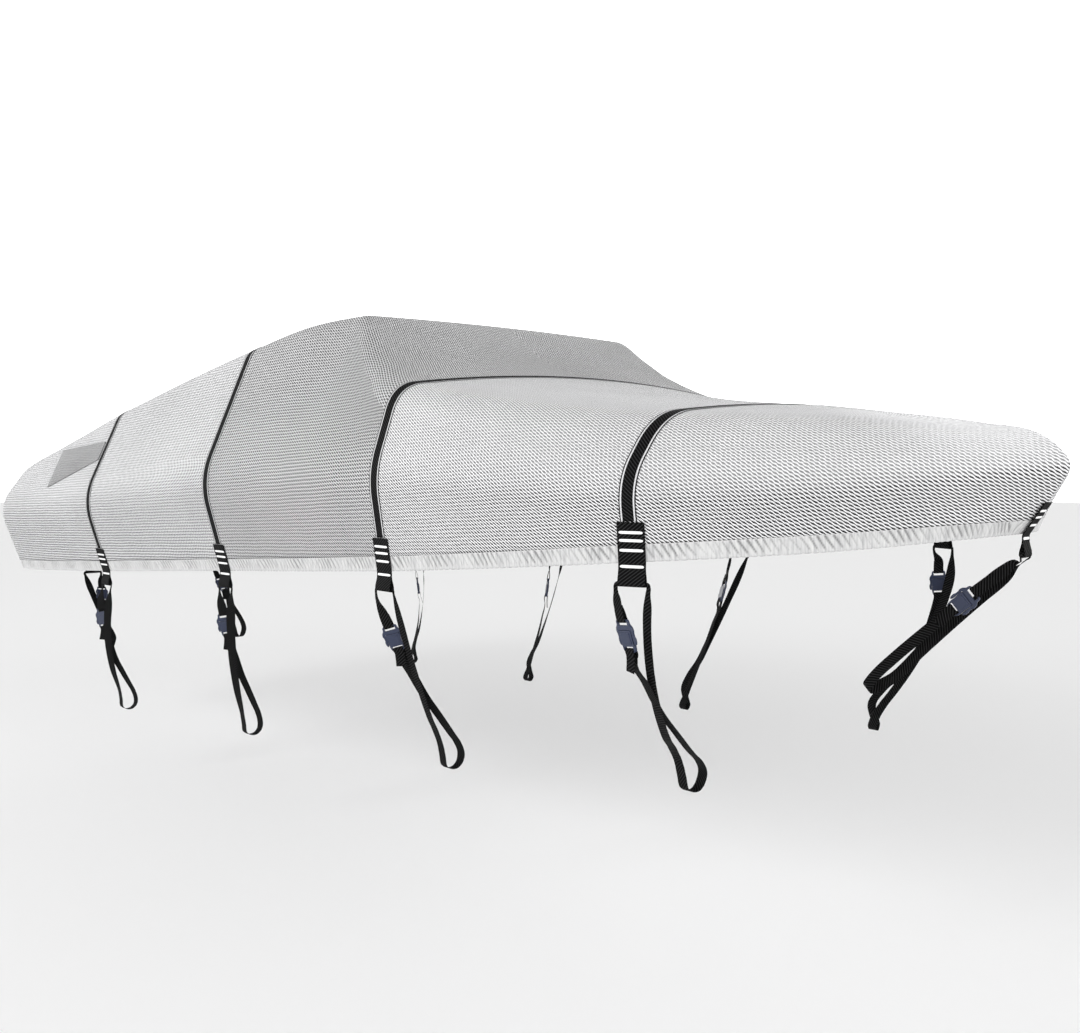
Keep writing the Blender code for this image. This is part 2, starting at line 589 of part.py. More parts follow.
def tie_route(site):
    """The strap's middle line as (point, direction across it, width, face) rows, and
    its buckle. Only the rows inside the tab state their face.

    The strap starts at the end stitched behind the plug's bar, climbs the aft leg,
    threads the tab, goes down the fore leg, round its foot and up behind, and ends
    in a free tail over the socket's bar.
    """
    tie = site.tie
    pocket_half = site.tab_width / 2 + 0.0012 + TIE_AT_CORNER / 2 - CORNER_RADIUS
    lower_edge = 0.0015 - TAB_LOOP_RADIUS
    corner_rise = lower_edge + TIE_AT_CORNER / 2 - CORNER_RADIUS
    pocket_rise = lower_edge + TIE_IN_POCKET / 2

    def in_tab(a, d):
        return site.fold + site.along * a + site.up * d

    def corner(sign, start, stop):
        centre = in_tab(sign * pocket_half, corner_rise)
        return arc(centre, site.along * sign, site.up, CORNER_RADIUS, start, stop, 3)

    foot_along, foot_out, foot_up = site.foot_axes

    def at_foot(slant, inwards, rise):
        return (site.foot + foot_along * slant * site.foot_slant - foot_out * inwards
                + foot_up * rise)

    def leg(start, end, bulge, at):
        return start + (end - start) * at + site.out * bulge * 4 * at * (1 - at)

    leg_side = pocket_half + CORNER_RADIUS
    aft_top = in_tab(-leg_side, corner_rise)
    fore_top = in_tab(leg_side, corner_rise)
    fore_foot = at_foot(-1, 0, FOOT_INNER_HEIGHT)
    aft_foot = at_foot(1, FOOT_INNER_WIDTH, FOOT_INNER_HEIGHT)
    aft_bulge = tie["aft_bulge"]
    leg_length = np.linalg.norm(aft_foot - aft_top)
    buckle_top = leg(aft_top, aft_foot, aft_bulge, tie["buckle_down"] / leg_length)
    buckle_length = PLUG_LENGTH + PART_GAP + SOCKET_LENGTH
    below = leg(aft_top, aft_foot, aft_bulge,
                (tie["buckle_down"] + buckle_length) / leg_length)
    buckle = Buckle(buckle_top, below, site)

    rows = []

    def loose(points, across, *widths):
        for k, p in enumerate(points):
            rows.append((p, across, widths[min(k, len(widths) - 1)], None))

    def threaded(points, centre, width):
        for p in points:
            rows.append((p, unit(p - centre), width, site.face))

    radius = bar_radius(PLUG_THICKNESS)
    bar = buckle.at(BAR_THICKNESS * 0.8, 0)
    loose([
        buckle.at(-STITCHED_END, -0.0019),
        buckle.at(-0.012, -radius),
        *arc(bar, buckle.down, buckle.front, radius, -90, 90, 6),
        buckle.at(-0.012, radius),
        buckle.at(-STITCHED_END, 0.0009),
    ], -buckle.across, TIE_WIDTH)
    if site.on_edge:
        for at, width in ((0.055, 0.036), (0.028, 0.026)):
            loose([leg(aft_top, aft_foot, aft_bulge, at / leg_length)], -site.lay, width)
    loose([aft_top - site.up * 0.012], -site.along, TIE_AT_CORNER)
    threaded(corner(-1, 0, 90), in_tab(-pocket_half, corner_rise), TIE_AT_CORNER)
    for a in (-0.015, 0.015):
        threaded([in_tab(a, pocket_rise)], in_tab(a, 0), TIE_IN_POCKET)
    threaded(corner(1, 90, 0), in_tab(pocket_half, corner_rise), TIE_AT_CORNER)
    fore = [leg(fore_top, fore_foot, tie["fore_bulge"], t)
            for t in (0.03, 0.16, 0.5, 0.8)]
    outer_side = [at_foot(-0.6, 0, 0.040), at_foot(-0.3, 0, FOOT_ROUND)]
    under = [at_foot(-0.2, FOOT_ROUND, 0),
             at_foot(0.2, FOOT_INNER_WIDTH - FOOT_ROUND, 0)]
    inner_side = [at_foot(0.3, FOOT_INNER_WIDTH, FOOT_ROUND),
                  at_foot(0.8, FOOT_INNER_WIDTH, FOOT_INNER_HEIGHT * 0.7)]
    start = (tie["buckle_down"] + buckle_length + 0.04) / leg_length
    aft = [leg(aft_top, aft_foot, aft_bulge, t)
           for t in (0.9, (0.9 + start) / 2, start)]
    loop = [*fore, fore_foot, *outer_side, *under, *inner_side, *aft]
    path = smooth_path(loop, 2)
    last = len(path) - 1
    for k, p in enumerate(path):
        turned = min(k / 2, 1)
        squared = np.interp(k, (4, 8, last - 8, last), (0, 1, 1, 0))
        lay = site.fore_lay if k < 8 else site.lay
        leg_across = site.along * (1 - turned) + lay * turned
        across = leg_across * (1 - squared) + foot_along * squared
        rows.append((p, across, np.interp(k, (0, 1, 2), (0.016, 0.030, TIE_WIDTH)), None))
    radius = bar_radius(SOCKET_THICKNESS)
    bar = buckle.at(buckle_length - BAR_THICKNESS * 0.8, 0)
    loose([
        buckle.at(buckle_length + 0.012, -radius),
        *arc(bar, -buckle.down, buckle.front, radius, -90, 90, 6),
        buckle.at(buckle_length + 0.008, radius),
        buckle.at(buckle_length + TAIL * 0.4, radius * 1.2, -0.003),
        buckle.at(buckle_length + TAIL, radius * 2.0, -0.012),
    ], buckle.across, TIE_WIDTH)
    return rows, buckle


def tie_strap(site, material):
    """One strap as a ribbon along its route. Returns the place of its buckle."""
    rows, buckle = tie_route(site)
    points = np.array([row[0] for row in rows])
    tangent = np.gradient(points, axis=0)
    tangent /= np.linalg.norm(tangent, axis=1, keepdims=True)
    inner = []
    outer = []
    turn = np.sign(np.dot(np.cross(site.along, site.up), site.face))
    for (p, across, width, face), direction in zip(rows, tangent):
        if face is None:
            across = unit(across - np.dot(across, direction) * direction)
            face = np.cross(direction, across) * turn
        half = across * width / 2 * turn
        lift = face * TIE_THICKNESS / 2
        inner.append([p - half - lift, p + half - lift])
        outer.append([p - half + lift, p + half + lift])
    thick_sheet(f"tie_{site.name}", np.array(inner), np.array(outer), material)
    return buckle


# ---------------------------------------------------------------- buckles

def slotted_plate(name, half_outline, slot_top, slot_bottom, thickness, place, material):
    """Plate, alike left and right, with one slot. The half outline goes from the
    middle of its top edge down the right side to the middle of its bottom edge, as
    (across, down). place turns (down, front, across) into a point."""
    half_slot = SLOT_WIDTH / 2
    slot = [(0, slot_bottom), (half_slot, slot_bottom),
            (half_slot, slot_top), (0, slot_top)]
    loop = [*half_outline, *slot]
    flat = {}

    def number(across, down):
        return flat.setdefault((round(across, 6), round(down, 6)), len(flat))

    right = [number(a, d) for a, d in loop]
    left = [number(-a, d) for a, d in loop][::-1]
    count = len(flat)
    points = []
    for front in (-thickness / 2, thickness / 2):
        points += [place(down, front, across) for across, down in flat]
    faces = []
    for ring in (right, left):
        faces += [ring, [k + count for k in ring[::-1]]]
    borders = [right, left]
    for ring in borders:
        for a, b in zip(ring, ring[1:] + ring[:1]):
            middle = [key for key, value in flat.items() if value in (a, b)]
            if all(abs(key[0]) < 1e-9 for key in middle):
                continue
            faces.append([b, a, a + count, b + count])
    corner = np.array([place(1, 0, 0), place(0, 1, 0), place(0, 0, 1)]) - place(0, 0, 0)
    if np.dot(np.cross(corner[2], corner[0]), corner[1]) > 0:
        faces = [f[::-1] for f in faces]
    add_object(name, points, faces, material, smooth=False)


def buckle_pieces(site, buckle, material):
    """Plug with its bar and two side prongs, and the socket they hug."""
    half_body = BUCKLE_BODY_WIDTH / 2
    prong_in = half_body + PART_GAP
    prong_out = prong_in + PRONG_WIDTH
    prong_end = PLUG_LENGTH + PRONG_LENGTH
    plug_outline = [
        (0, 0), (half_body - 0.004, 0), (half_body, 0.004), (half_body + 0.002, 0.018),
        (prong_out, 0.026), (prong_out + 0.001, PLUG_LENGTH + 0.014),
        (prong_out - 0.001, prong_end - 0.006), (prong_out - 0.004, prong_end),
        (prong_in, prong_end - 0.004), (prong_in, PLUG_LENGTH), (0, PLUG_LENGTH),
    ]
    slotted_plate(f"plug_{site.name}", plug_outline, BAR_THICKNESS,
                  BAR_THICKNESS + SLOT_LENGTH, PLUG_THICKNESS, buckle.at, material)

    def from_socket_top(down, front, across):
        return buckle.at(down + PLUG_LENGTH + PART_GAP, front, across)

    foot_width = half_body - 0.003
    socket_outline = [
        (0, 0), (half_body - 0.003, 0), (half_body, 0.003),
        (half_body - 0.001, SOCKET_LENGTH * 0.6), (foot_width, SOCKET_LENGTH - 0.006),
        (foot_width - 0.004, SOCKET_LENGTH), (0, SOCKET_LENGTH),
    ]
    slotted_plate(f"socket_{site.name}", socket_outline,
                  SOCKET_LENGTH - BAR_THICKNESS - SLOT_LENGTH,
                  SOCKET_LENGTH - BAR_THICKNESS, SOCKET_THICKNESS,
                  from_socket_top, material)


# ---------------------------------------------------------------- the whole cover

def build():
    for old in list(bpy.data.objects):
        bpy.data.objects.remove(old, do_unlink=True)
    light = finish("light_cloth", LIGHT_CLOTH, 0.75)
    dark = finish("dark_cloth", DARK_CLOTH, 0.75)
    webbing = finish("black_webbing", BLACK_WEBBING, 0.6)
    plastic = finish("blue_plastic", BUCKLE_BLUE, 0.35)
    cover_panels(light, dark)
    for number, x in enumerate(CROSS_STRAP_X, 1):
        cross_strap(number, x, webbing)
    patch("patch_near", -1, dark)
    patch("patch_far", 1, dark)
    sites = [side_site(number, side) for side in (-1, 1) for number in (1, 2, 3, 4)]
    sites += [stern_site(-1), stern_site(1), bow_site()]
    for site in sites:
        tab(site, webbing)
        buckle = tie_strap(site, webbing)
        buckle_pieces(site, buckle, plastic)


build()
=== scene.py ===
"""The fitted boat cover, stretched tight: three woven panels with a gathered hem, four
sewn cross straps, two puffed patches and eleven tie-downs with side-release buckles.
In metres, with +X to the bow, +Y to port and +Z up."""

import math

import bmesh
import bpy
import numpy as np
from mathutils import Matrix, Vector


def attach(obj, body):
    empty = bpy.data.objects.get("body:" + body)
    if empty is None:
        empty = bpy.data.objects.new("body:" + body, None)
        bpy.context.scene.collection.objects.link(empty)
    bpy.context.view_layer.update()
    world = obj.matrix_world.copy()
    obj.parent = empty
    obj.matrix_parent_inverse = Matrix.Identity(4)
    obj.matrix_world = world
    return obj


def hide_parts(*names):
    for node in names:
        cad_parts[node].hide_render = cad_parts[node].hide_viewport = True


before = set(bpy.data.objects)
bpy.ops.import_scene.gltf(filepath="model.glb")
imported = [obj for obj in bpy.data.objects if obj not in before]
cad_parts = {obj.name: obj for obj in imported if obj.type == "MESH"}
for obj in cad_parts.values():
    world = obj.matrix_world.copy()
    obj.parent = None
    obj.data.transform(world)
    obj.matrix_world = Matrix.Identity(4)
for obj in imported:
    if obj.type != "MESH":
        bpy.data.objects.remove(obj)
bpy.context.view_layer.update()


# ============ view and light
# The camera stands off the near side, a little below the rim's height, and looks up
# the cover from ahead. The floor is plain and pale, and the light is a soft studio one.

ORIGIN_HEIGHT = 2.260  # of the frame's origin above the ground
CAMERA_PLACE = (3.837, -3.621, -0.590)
CAMERA_TURN = math.radians(44.93)
CAMERA_DIP = 0.052
CAMERA_LENS, SENSOR_WIDTH = 38.06, 36.0  # in millimetres
CAMERA_NEAR, CAMERA_FAR = 0.05, 200.0
FLOOR_HALF = 40.0
SKY_STRENGTH = 2.2
WHITE_BELOW, DARK_ABOVE, OVERHEAD = 0.34, 0.75, 0.09
LAMP_WIDTH = 3.0
LAMPS = (
    ("key_lamp", (-2.0, -9.0, 4.2), (-0.3, -0.6, -0.6), 250.0),
    ("bow_lamp", (8.0, -2.0, 1.8), (1.5, 0.0, -0.6), 80.0),
)


def add_object(name, data):
    """Object that shows a camera, a lamp or a mesh, in the scene."""
    made = bpy.data.objects.new(name, data)
    bpy.context.scene.collection.objects.link(made)
    return made


def photo_camera():
    data = bpy.data.cameras.new("camera")
    data.lens = CAMERA_LENS
    data.sensor_width = SENSOR_WIDTH
    data.clip_start = CAMERA_NEAR
    data.clip_end = CAMERA_FAR
    made = add_object("camera", data)
    made.location = CAMERA_PLACE
    made.rotation_euler = (math.pi / 2 - CAMERA_DIP, 0.0, CAMERA_TURN)
    return made


def new_finish(name, colour, roughness, **inputs):
    """Principled material with its plain values on the shader's own sockets."""
    made = bpy.data.materials.new(name)
    made.use_nodes = True
    shader = made.node_tree.nodes["Principled BSDF"]
    shader.inputs["Base Color"].default_value = (*colour, 1.0)
    shader.inputs["Roughness"].default_value = roughness
    for key, value in inputs.items():
        shader.inputs[key.replace("_", " ")].default_value = value
    return made, made.node_tree, shader


def pale_floor():
    mesh = bpy.data.meshes.new("floor")
    corners = [(a * FLOOR_HALF, b * FLOOR_HALF, -ORIGIN_HEIGHT)
               for a, b in ((-1, -1), (1, -1), (1, 1), (-1, 1))]
    mesh.from_pydata(corners, [], [(0, 1, 2, 3)])
    mesh.materials.append(new_finish("pale_floor", (0.95, 0.95, 0.95), 0.9)[0])
    return add_object("floor", mesh)


def add_node(tree, kind, **settings):
    node = tree.nodes.new(kind)
    for key, value in settings.items():
        setattr(node, key, value)
    return node


def ramp(tree, factor, stops):
    """Colour ramp; stops are (place, grey or colour)."""
    node = add_node(tree, "ShaderNodeValToRGB")
    tree.links.new(factor, node.inputs[0])
    while len(node.color_ramp.elements) < len(stops):
        node.color_ramp.elements.new(0.5)
    for element, (place, colour) in zip(node.color_ramp.elements, stops):
        element.position = place
        element.color = (*(colour if hasattr(colour, "__len__") else (colour,) * 3), 1.0)
    return node.outputs[0]


def studio_world():
    """White round the horizon and greyer overhead, so that upward faces stay darker
    than the sides."""
    world = bpy.data.worlds.new("studio")
    world.use_nodes = True
    tree = world.node_tree
    parts = add_node(tree, "ShaderNodeSeparateXYZ")
    tree.links.new(add_node(tree, "ShaderNodeTexCoord").outputs["Generated"], parts.inputs[0])
    shade = ramp(tree, parts.outputs[2], [(WHITE_BELOW, 1.0), (DARK_ABOVE, OVERHEAD)])
    tree.links.new(shade, tree.nodes["Background"].inputs["Color"])
    tree.nodes["Background"].inputs["Strength"].default_value = SKY_STRENGTH
    return world


def soft_lamp(name, place, target, watts):
    """Square area lamp at a place, turned to face a target."""
    data = bpy.data.lights.new(name, "AREA")
    data.size = LAMP_WIDTH
    data.energy = watts
    lamp = add_object(name, data)
    lamp.location = place
    way = Vector(target) - Vector(place)
    lamp.rotation_euler = way.to_track_quat("-Z", "Y").to_euler()


camera = photo_camera()
bpy.context.scene.camera = camera
bpy.context.scene.view_settings.view_transform = "Standard"
bpy.context.scene.world = studio_world()
floor = pale_floor()
for lamp_row in LAMPS:
    soft_lamp(*lamp_row)


# ============ cloth panels
# Coated polyester, woven coarse enough for its checks to show. Three panels, light grey
# fore and aft and dark grey amidships, are cut to one pointed plan and sewn edge to edge.

CLOTH = 0.002
STERN_X, STERN_CORNER = -3.53, 0.28
BOW_START_X, BOW_X, BOW_HALF_WIDTH = 0.30, 2.530, 1.156
BOW_FULLNESS, BOW_POINT = 4.45, 1.12
FAN_AFT_X, FAN_FORE_X = -2.60, 1.70
SPINE_AFT_X, SPINE_FORE_X = -2.95, 2.20
AFT_SEAM_X, FORE_SEAM_X = -0.690, 0.529
SEAM_GAP = 0.0008
HEM_BAND, UNDER_BAND = 0.056, 0.001  # the panels start a little under the band
PANEL_STEP = 0.015

# Points along half the rim: on the stern, round its corner, on the side and on the bow,
# where they are spaced by half width.
STERN_POINTS, CORNER_POINTS, SIDE_POINTS, BOW_POINTS = 80, 58, 900, 299
BOW_POINTS_X = 2.0

# x; rim y and height; hem in and height; shoulder in and height; crown height; how far
# the shoulder's and the rim's roundings reach. "in" is measured inwards from the rim.
SECTIONS = np.array([
    (-3.530, 1.055, 1.370, 0.155, 0.993, 0.210, 1.602, 1.642, 0.110, 0.120),
    (-3.100, 1.080, 1.385, 0.110, 1.007, 0.170, 1.675, 1.720, 0.090, 0.120),
    (-2.600, 1.115, 1.412, 0.100, 1.035, 0.190, 1.765, 1.803, 0.070, 0.120),
    (-1.925, 1.141, 1.457, 0.113, 1.079, 0.211, 1.912, 1.948, 0.060, 0.120),
    (-0.690, 1.159, 1.570, 0.113, 1.168, 0.259, 2.158, 2.190, 0.060, 0.120),
    (-0.250, 1.160, 1.590, 0.092, 1.199, 0.300, 2.235, 2.250, 0.060, 0.110),
    (+0.000, 1.160, 1.600, 0.083, 1.217, 0.340, 2.250, 2.262, 0.055, 0.110),
    (+0.120, 1.160, 1.603, 0.078, 1.226, 0.290, 2.158, 2.188, 0.065, 0.100),
    (+0.250, 1.159, 1.606, 0.070, 1.236, 0.225, 2.058, 2.100, 0.075, 0.095),
    (+0.529, 1.156, 1.610, 0.056, 1.256, 0.114, 1.932, 2.003, 0.100, 0.090),
    (+1.100, 1.145, 1.606, 0.045, 1.306, 0.130, 1.850, 1.905, 0.110, 0.085),
    (+1.629, 1.052, 1.602, 0.036, 1.354, 0.160, 1.804, 1.856, 0.120, 0.090),
    (+2.100, 0.765, 1.612, 0.050, 1.392, 0.165, 1.785, 1.822, 0.120, 0.080),
    (+2.400, 0.335, 1.635, 0.105, 1.420, 0.120, 1.752, 1.787, 0.090, 0.060),
    (+2.530, 0.000, 1.650, 0.146, 1.427, 0.090, 1.746, 1.780, 0.070, 0.050),
])


def hermite(first, last, first_slope, last_slope, span, t):
    """Cubic from first to last, given its slopes there, at a share t of its span."""
    return (first * (1 + 2 * t) * (1 - t) ** 2 + first_slope * span * t * (1 - t) ** 2
            + last * t ** 2 * (3 - 2 * t) + last_slope * span * t ** 2 * (t - 1))


def steady_curve(knots, values, at):
    """Hermite pieces through the knots, each knot's slope the harmonic mean of the
    chords beside it, or none where they point opposite ways."""
    span = np.diff(knots)
    chord = np.diff(values) / span
    product, total = chord[:-1] * chord[1:], chord[:-1] + chord[1:]
    inner = np.where(product > 0, 2 * product / np.where(total == 0, 1, total), 0)
    slope = np.concatenate([chord[:1], inner, chord[-1:]])
    k = np.clip(np.searchsorted(knots, at, side="right") - 1, 0, len(span) - 1)
    return hermite(values[k], values[k + 1], slope[k], slope[k + 1], span[k],
                   (at - knots[k]) / span[k])


def half_width_at(x):
    """Rim's half width: the table aft, and forward of BOW_START_X the curve
    half = B (1 - t^p)^(1/q), with t the share of the way to the bow tip."""
    t = np.clip((x - BOW_START_X) / (BOW_X - BOW_START_X), 0, 1)
    bow = BOW_HALF_WIDTH * (1 - t ** BOW_FULLNESS) ** (1 / BOW_POINT)
    return np.where(x <= BOW_START_X, steady_curve(SECTIONS[:, 0], SECTIONS[:, 1], x), bow)


def rim_line():
    """Rows of (way round the rim, x, half width, spine x), closely spaced, from the
    middle of the stern round the port side to the bow tip. Aft and forward of the fan
    lines the spine's x goes in step with the way round."""
    side_x = STERN_X + STERN_CORNER
    side_y = half_width_at(np.array([side_x]))[0]
    turn = np.radians(np.linspace(0, 90, CORNER_POINTS + 2)[1:-1])
    side = np.linspace(side_x, BOW_POINTS_X, SIDE_POINTS)
    bow_y = np.linspace(half_width_at(side[-1:])[0], 0, BOW_POINTS + 1)[1:]
    bow_t = (1 - (bow_y / BOW_HALF_WIDTH) ** BOW_POINT) ** (1 / BOW_FULLNESS)
    flat_y = np.linspace(0, side_y - STERN_CORNER, STERN_POINTS)
    x = np.concatenate([np.full(STERN_POINTS, STERN_X),
                        side_x - STERN_CORNER * np.cos(turn), side,
                        BOW_START_X + (BOW_X - BOW_START_X) * bow_t])
    y = np.concatenate([flat_y, side_y - STERN_CORNER + STERN_CORNER * np.sin(turn),
                        half_width_at(side), bow_y])
    run = np.concatenate([[0], np.cumsum(np.hypot(np.diff(x), np.diff(y)))])
    aft_run, fore_run = np.interp([FAN_AFT_X, FAN_FORE_X], x, run)
    spine = np.where(run < aft_run,
                     SPINE_AFT_X + (FAN_AFT_X - SPINE_AFT_X) * run / aft_run, x)
    ahead = (run - fore_run) / (run[-1] - fore_run)
    spine = np.where(run > fore_run,
                     FAN_FORE_X + (SPINE_FORE_X - FAN_FORE_X) * ahead, spine)
    return np.column_stack([run, x, y, spine])


RIM = rim_line()


def runs_between(start, end, step):
    """Evenly spaced ways round the rim, no more than a step apart."""
    return np.linspace(start, end, int((end - start) / step) + 2)


def stations_at(runs):
    """Rows of (x, half width, spine x) at ways round the rim."""
    return np.column_stack([np.interp(runs, RIM[:, 0], RIM[:, k]) for k in (1, 2, 3)])


def side_run(x):
    """Way round the rim to an x on the side."""
    return np.interp(x, RIM[STERN_POINTS:, 1], RIM[STERN_POINTS:, 0])


def corner_curve(before, corner, after, reach, t):
    """Quadratic curve that cuts a corner, from reach before it to reach after it."""
    def towards(end):
        way = end - corner
        return corner + reach[:, None] * way / np.linalg.norm(way, axis=1, keepdims=True)

    start, end, t = towards(before)[:, None], towards(after)[:, None], t[None, :, None]
    return start * (1 - t) ** 2 + corner[:, None] * 2 * t * (1 - t) + end * t ** 2


def half_sections(stations, steps=(12, 8, 10, 10, 20), start=0.0):
    """Port halves of the sections, from start above the hem to the centre line: a
    straight flap, a rounded rim, a straight side, a rounded shoulder and a parabola
    over the top. Each lies in the upright plane through its rim point and spine point."""
    x, rim_y, spine_x = stations.T
    row = [steady_curve(SECTIONS[:, 0], SECTIONS[:, k], x) for k in range(10)]
    _, _, rim_z, hem_in, hem_z, top_in, top_z, crown_z, top_reach, rim_reach = row
    reach = np.hypot(x - spine_x, rim_y)
    heading = np.column_stack([x - spine_x, rim_y]) / reach[:, None]
    hem = np.column_stack([reach - hem_in, hem_z])
    rim = np.column_stack([reach, rim_z])
    shoulder = np.column_stack([reach - top_in, top_z])
    fall = (crown_z - top_z) / shoulder[:, 0] ** 2
    top_out = shoulder[:, 0] - top_reach
    after = np.column_stack([top_out, crown_z - fall * top_out ** 2])
    share = [np.linspace(0, 1, n + 1) for n in steps]
    low = corner_curve(hem, rim, shoulder, rim_reach, share[1])
    high = corner_curve(rim, shoulder, after, top_reach, share[3])
    up_flap = (low[:, 0] - hem) / np.linalg.norm(low[:, 0] - hem, axis=1, keepdims=True)
    first = (hem + up_flap * start)[:, None]
    flap = first + (low[:, :1] - first) * share[0][None, :-1, None]
    side = low[:, -1:] + (high[:, :1] - low[:, -1:]) * share[2][None, 1:-1, None]
    out = high[:, -1:, 0] * (1 - share[4][None, 1:])
    top = np.stack([out, crown_z[:, None] - fall[:, None] * out ** 2], axis=2)
    flat = np.concatenate([flap, low, side, high, top], axis=1)
    return np.stack([
        spine_x[:, None] + flat[:, :, 0] * heading[:, :1],
        flat[:, :, 0] * heading[:, 1:],
        flat[:, :, 1] - ORIGIN_HEIGHT,
    ], axis=2)


def both_sides(port):
    """Whole sections from port halves: starboard hem over the top to port hem."""
    return np.concatenate([port * (1, -1, 1), port[:, -2::-1]], axis=1)


def grid_faces(rows, columns, closed=False):
    """Quads of a grid of points, round its columns too where it is closed."""
    number = np.arange(rows * columns).reshape(rows, columns)
    if closed:
        number = np.concatenate([number, number[:, :1]], axis=1)
    return np.stack([number[:-1, :-1], number[1:, :-1], number[1:, 1:], number[:-1, 1:]],
                    axis=2).reshape(-1, 4)


def surface(name, grid, u, v, material, closed=False, extra_faces=()):
    """Mesh object from a grid of points, with u and v in metres as its UV map."""
    mesh = bpy.data.meshes.new(name)
    faces = grid_faces(*grid.shape[:2], closed).tolist() + [list(f) for f in extra_faces]
    mesh.from_pydata(grid.reshape(-1, 3), [], faces)
    corner = np.empty(len(mesh.loops), dtype=np.int32)
    mesh.loops.foreach_get("vertex_index", corner)
    uv = np.column_stack([np.broadcast_to(way, grid.shape[:2]).ravel()[corner]
                          for way in (u, v)])
    mesh.uv_layers.new(name="weave").data.foreach_set("uv", uv.ravel())
    mesh.materials.append(material)
    mesh.shade_smooth()
    return add_object(name, mesh)


def merge_doubles(made):
    shape = bmesh.new()
    shape.from_mesh(made.data)
    bmesh.ops.remove_doubles(shape, verts=shape.verts, dist=0.00001)
    shape.to_mesh(made.data)
    shape.free()


def thicken(made, thickness):
    """Gives a sheet its thickness, inwards from its outer face."""
    wall = made.modifiers.new("Cloth", "SOLIDIFY")
    wall.thickness = thickness
    wall.offset = -1.0


def feed(tree, socket, value):
    """Links another socket to a socket, or gives it a plain value."""
    if isinstance(value, bpy.types.NodeSocket):
        tree.links.new(value, socket)
    else:
        socket.default_value = value


def maths(tree, operation, *values):
    """Math node fed by numbers or sockets; gives its output."""
    node = add_node(tree, "ShaderNodeMath", operation=operation)
    for socket, value in zip(node.inputs, values):
        feed(tree, socket, value)
    return node.outputs[0]


def mixed(tree, share, first, second, blend="MIX"):
    """Mix of two colours, each of which, like the share, is a socket or a value."""
    node = add_node(tree, "ShaderNodeMix", data_type="RGBA", blend_type=blend)
    for number, value in ((0, share), (6, first), (7, second)):
        feed(tree, node.inputs[number], value)
    return node.outputs[2]


def noise(tree, place, scale, detail=2.0):
    """Noise at a socket's coordinates; gives its value."""
    node = add_node(tree, "ShaderNodeTexNoise")
    node.inputs["Scale"].default_value = scale
    node.inputs["Detail"].default_value = detail
    tree.links.new(place, node.inputs["Vector"])
    return node.outputs[0]


def weave_place(tree):
    """The UV map's socket, and those of its u and v."""
    uv = add_node(tree, "ShaderNodeUVMap", uv_map="weave").outputs[0]
    parts = add_node(tree, "ShaderNodeSeparateXYZ")
    tree.links.new(uv, parts.inputs[0])
    return uv, parts.outputs[0], parts.outputs[1]


def mark(made, name, values):
    """Attribute of a piece: a number for each of its points."""
    made.data.attributes.new(name, "FLOAT", "POINT").data.foreach_set("value", values.ravel())


def marked(tree, name):
    """An attribute's value in a material."""
    return add_node(tree, "ShaderNodeAttribute", attribute_name=name).outputs["Fac"]


def bumped(tree, shader, height, distance, strength):
    node = add_node(tree, "ShaderNodeBump")
    node.inputs["Distance"].default_value = distance
    node.inputs["Strength"].default_value = strength
    tree.links.new(height, node.inputs["Height"])
    tree.links.new(node.outputs[0], shader.inputs["Normal"])


# Waves of the weave: crests a metre along u and along v, and strength. The second is
# the rows of yarn, and the others are the twill's two diagonals, of which the first
# leads on the fore panel and breaks the rows into checks aft of it.
FORE_WAVES = ((72.5, 99.0, 0.58), (1.5, 76.7, 0.36), (-69.5, 54.4, 0.06))
AFT_WAVES = ((68.0, 93.0, 0.51), (1.4, 71.5, 0.39), (-65.0, 51.0, 0.17))
WEAVE_RELIEF = 0.003


def twill_weave(name, light, pit_shade_colour, waves):
    """Coarse stepped twill on the UV map: s, the sum of strength cos(2 pi (a u + b v))
    over the waves, is high on the raised yarns and low in the pits between, where
    shade is painted in a near-black colour. Slow noise sways the yarns and tones the
    coating, and a fine one roughens the yarns. The attribute read here says how much
    of this painted pit shade shows: most where the cloth faces down."""
    made, tree, shader = new_finish(name, light, 0.62, Sheen_Weight=0.10,
                                    Sheen_Roughness=0.5, Specular_IOR_Level=0.3)
    uv, u, v = weave_place(tree)
    sway = maths(tree, "MULTIPLY_ADD", noise(tree, uv, 7.0), 3.0, -1.5)
    shown = maths(tree, "MULTIPLY_ADD", noise(tree, uv, 260.0, 3.0), 0.4, -0.20)
    for along, up, strength in waves:
        turn = maths(tree, "MULTIPLY_ADD", u, 2 * math.pi * along, sway)
        turn = maths(tree, "MULTIPLY_ADD", v, 2 * math.pi * up, turn)
        shown = maths(tree, "MULTIPLY_ADD", maths(tree, "COSINE", turn), strength, shown)
    level = maths(tree, "MULTIPLY_ADD", shown, 0.5, 0.5)
    # Painted shade: the pits are mixed towards the near-black pit colour, scaled by the
    # cloth's facing.
    pit_shade_mask = ramp(tree, level, [(0.41, 1.0), (0.48, 0.0)])
    pit_shade_mask = maths(tree, "MULTIPLY", pit_shade_mask, marked(tree, "pit_shade"))
    tone = mixed(tree, pit_shade_mask, (*light, 1.0), (*pit_shade_colour, 1.0))
    coating = ramp(tree, noise(tree, uv, 1.6), [(0.3, 0.90), (0.7, 1.0)])
    colour = mixed(tree, 1.0, tone, coating, "MULTIPLY")
    tree.links.new(colour, shader.inputs["Base Color"])
    bumped(tree, shader, shown, WEAVE_RELIEF, 0.9)
    return made


# How much of the painted pit shade shows on top of the light cloth and of the dark.
LIGHT_TOP, DARK_TOP = 0.65, 0.9


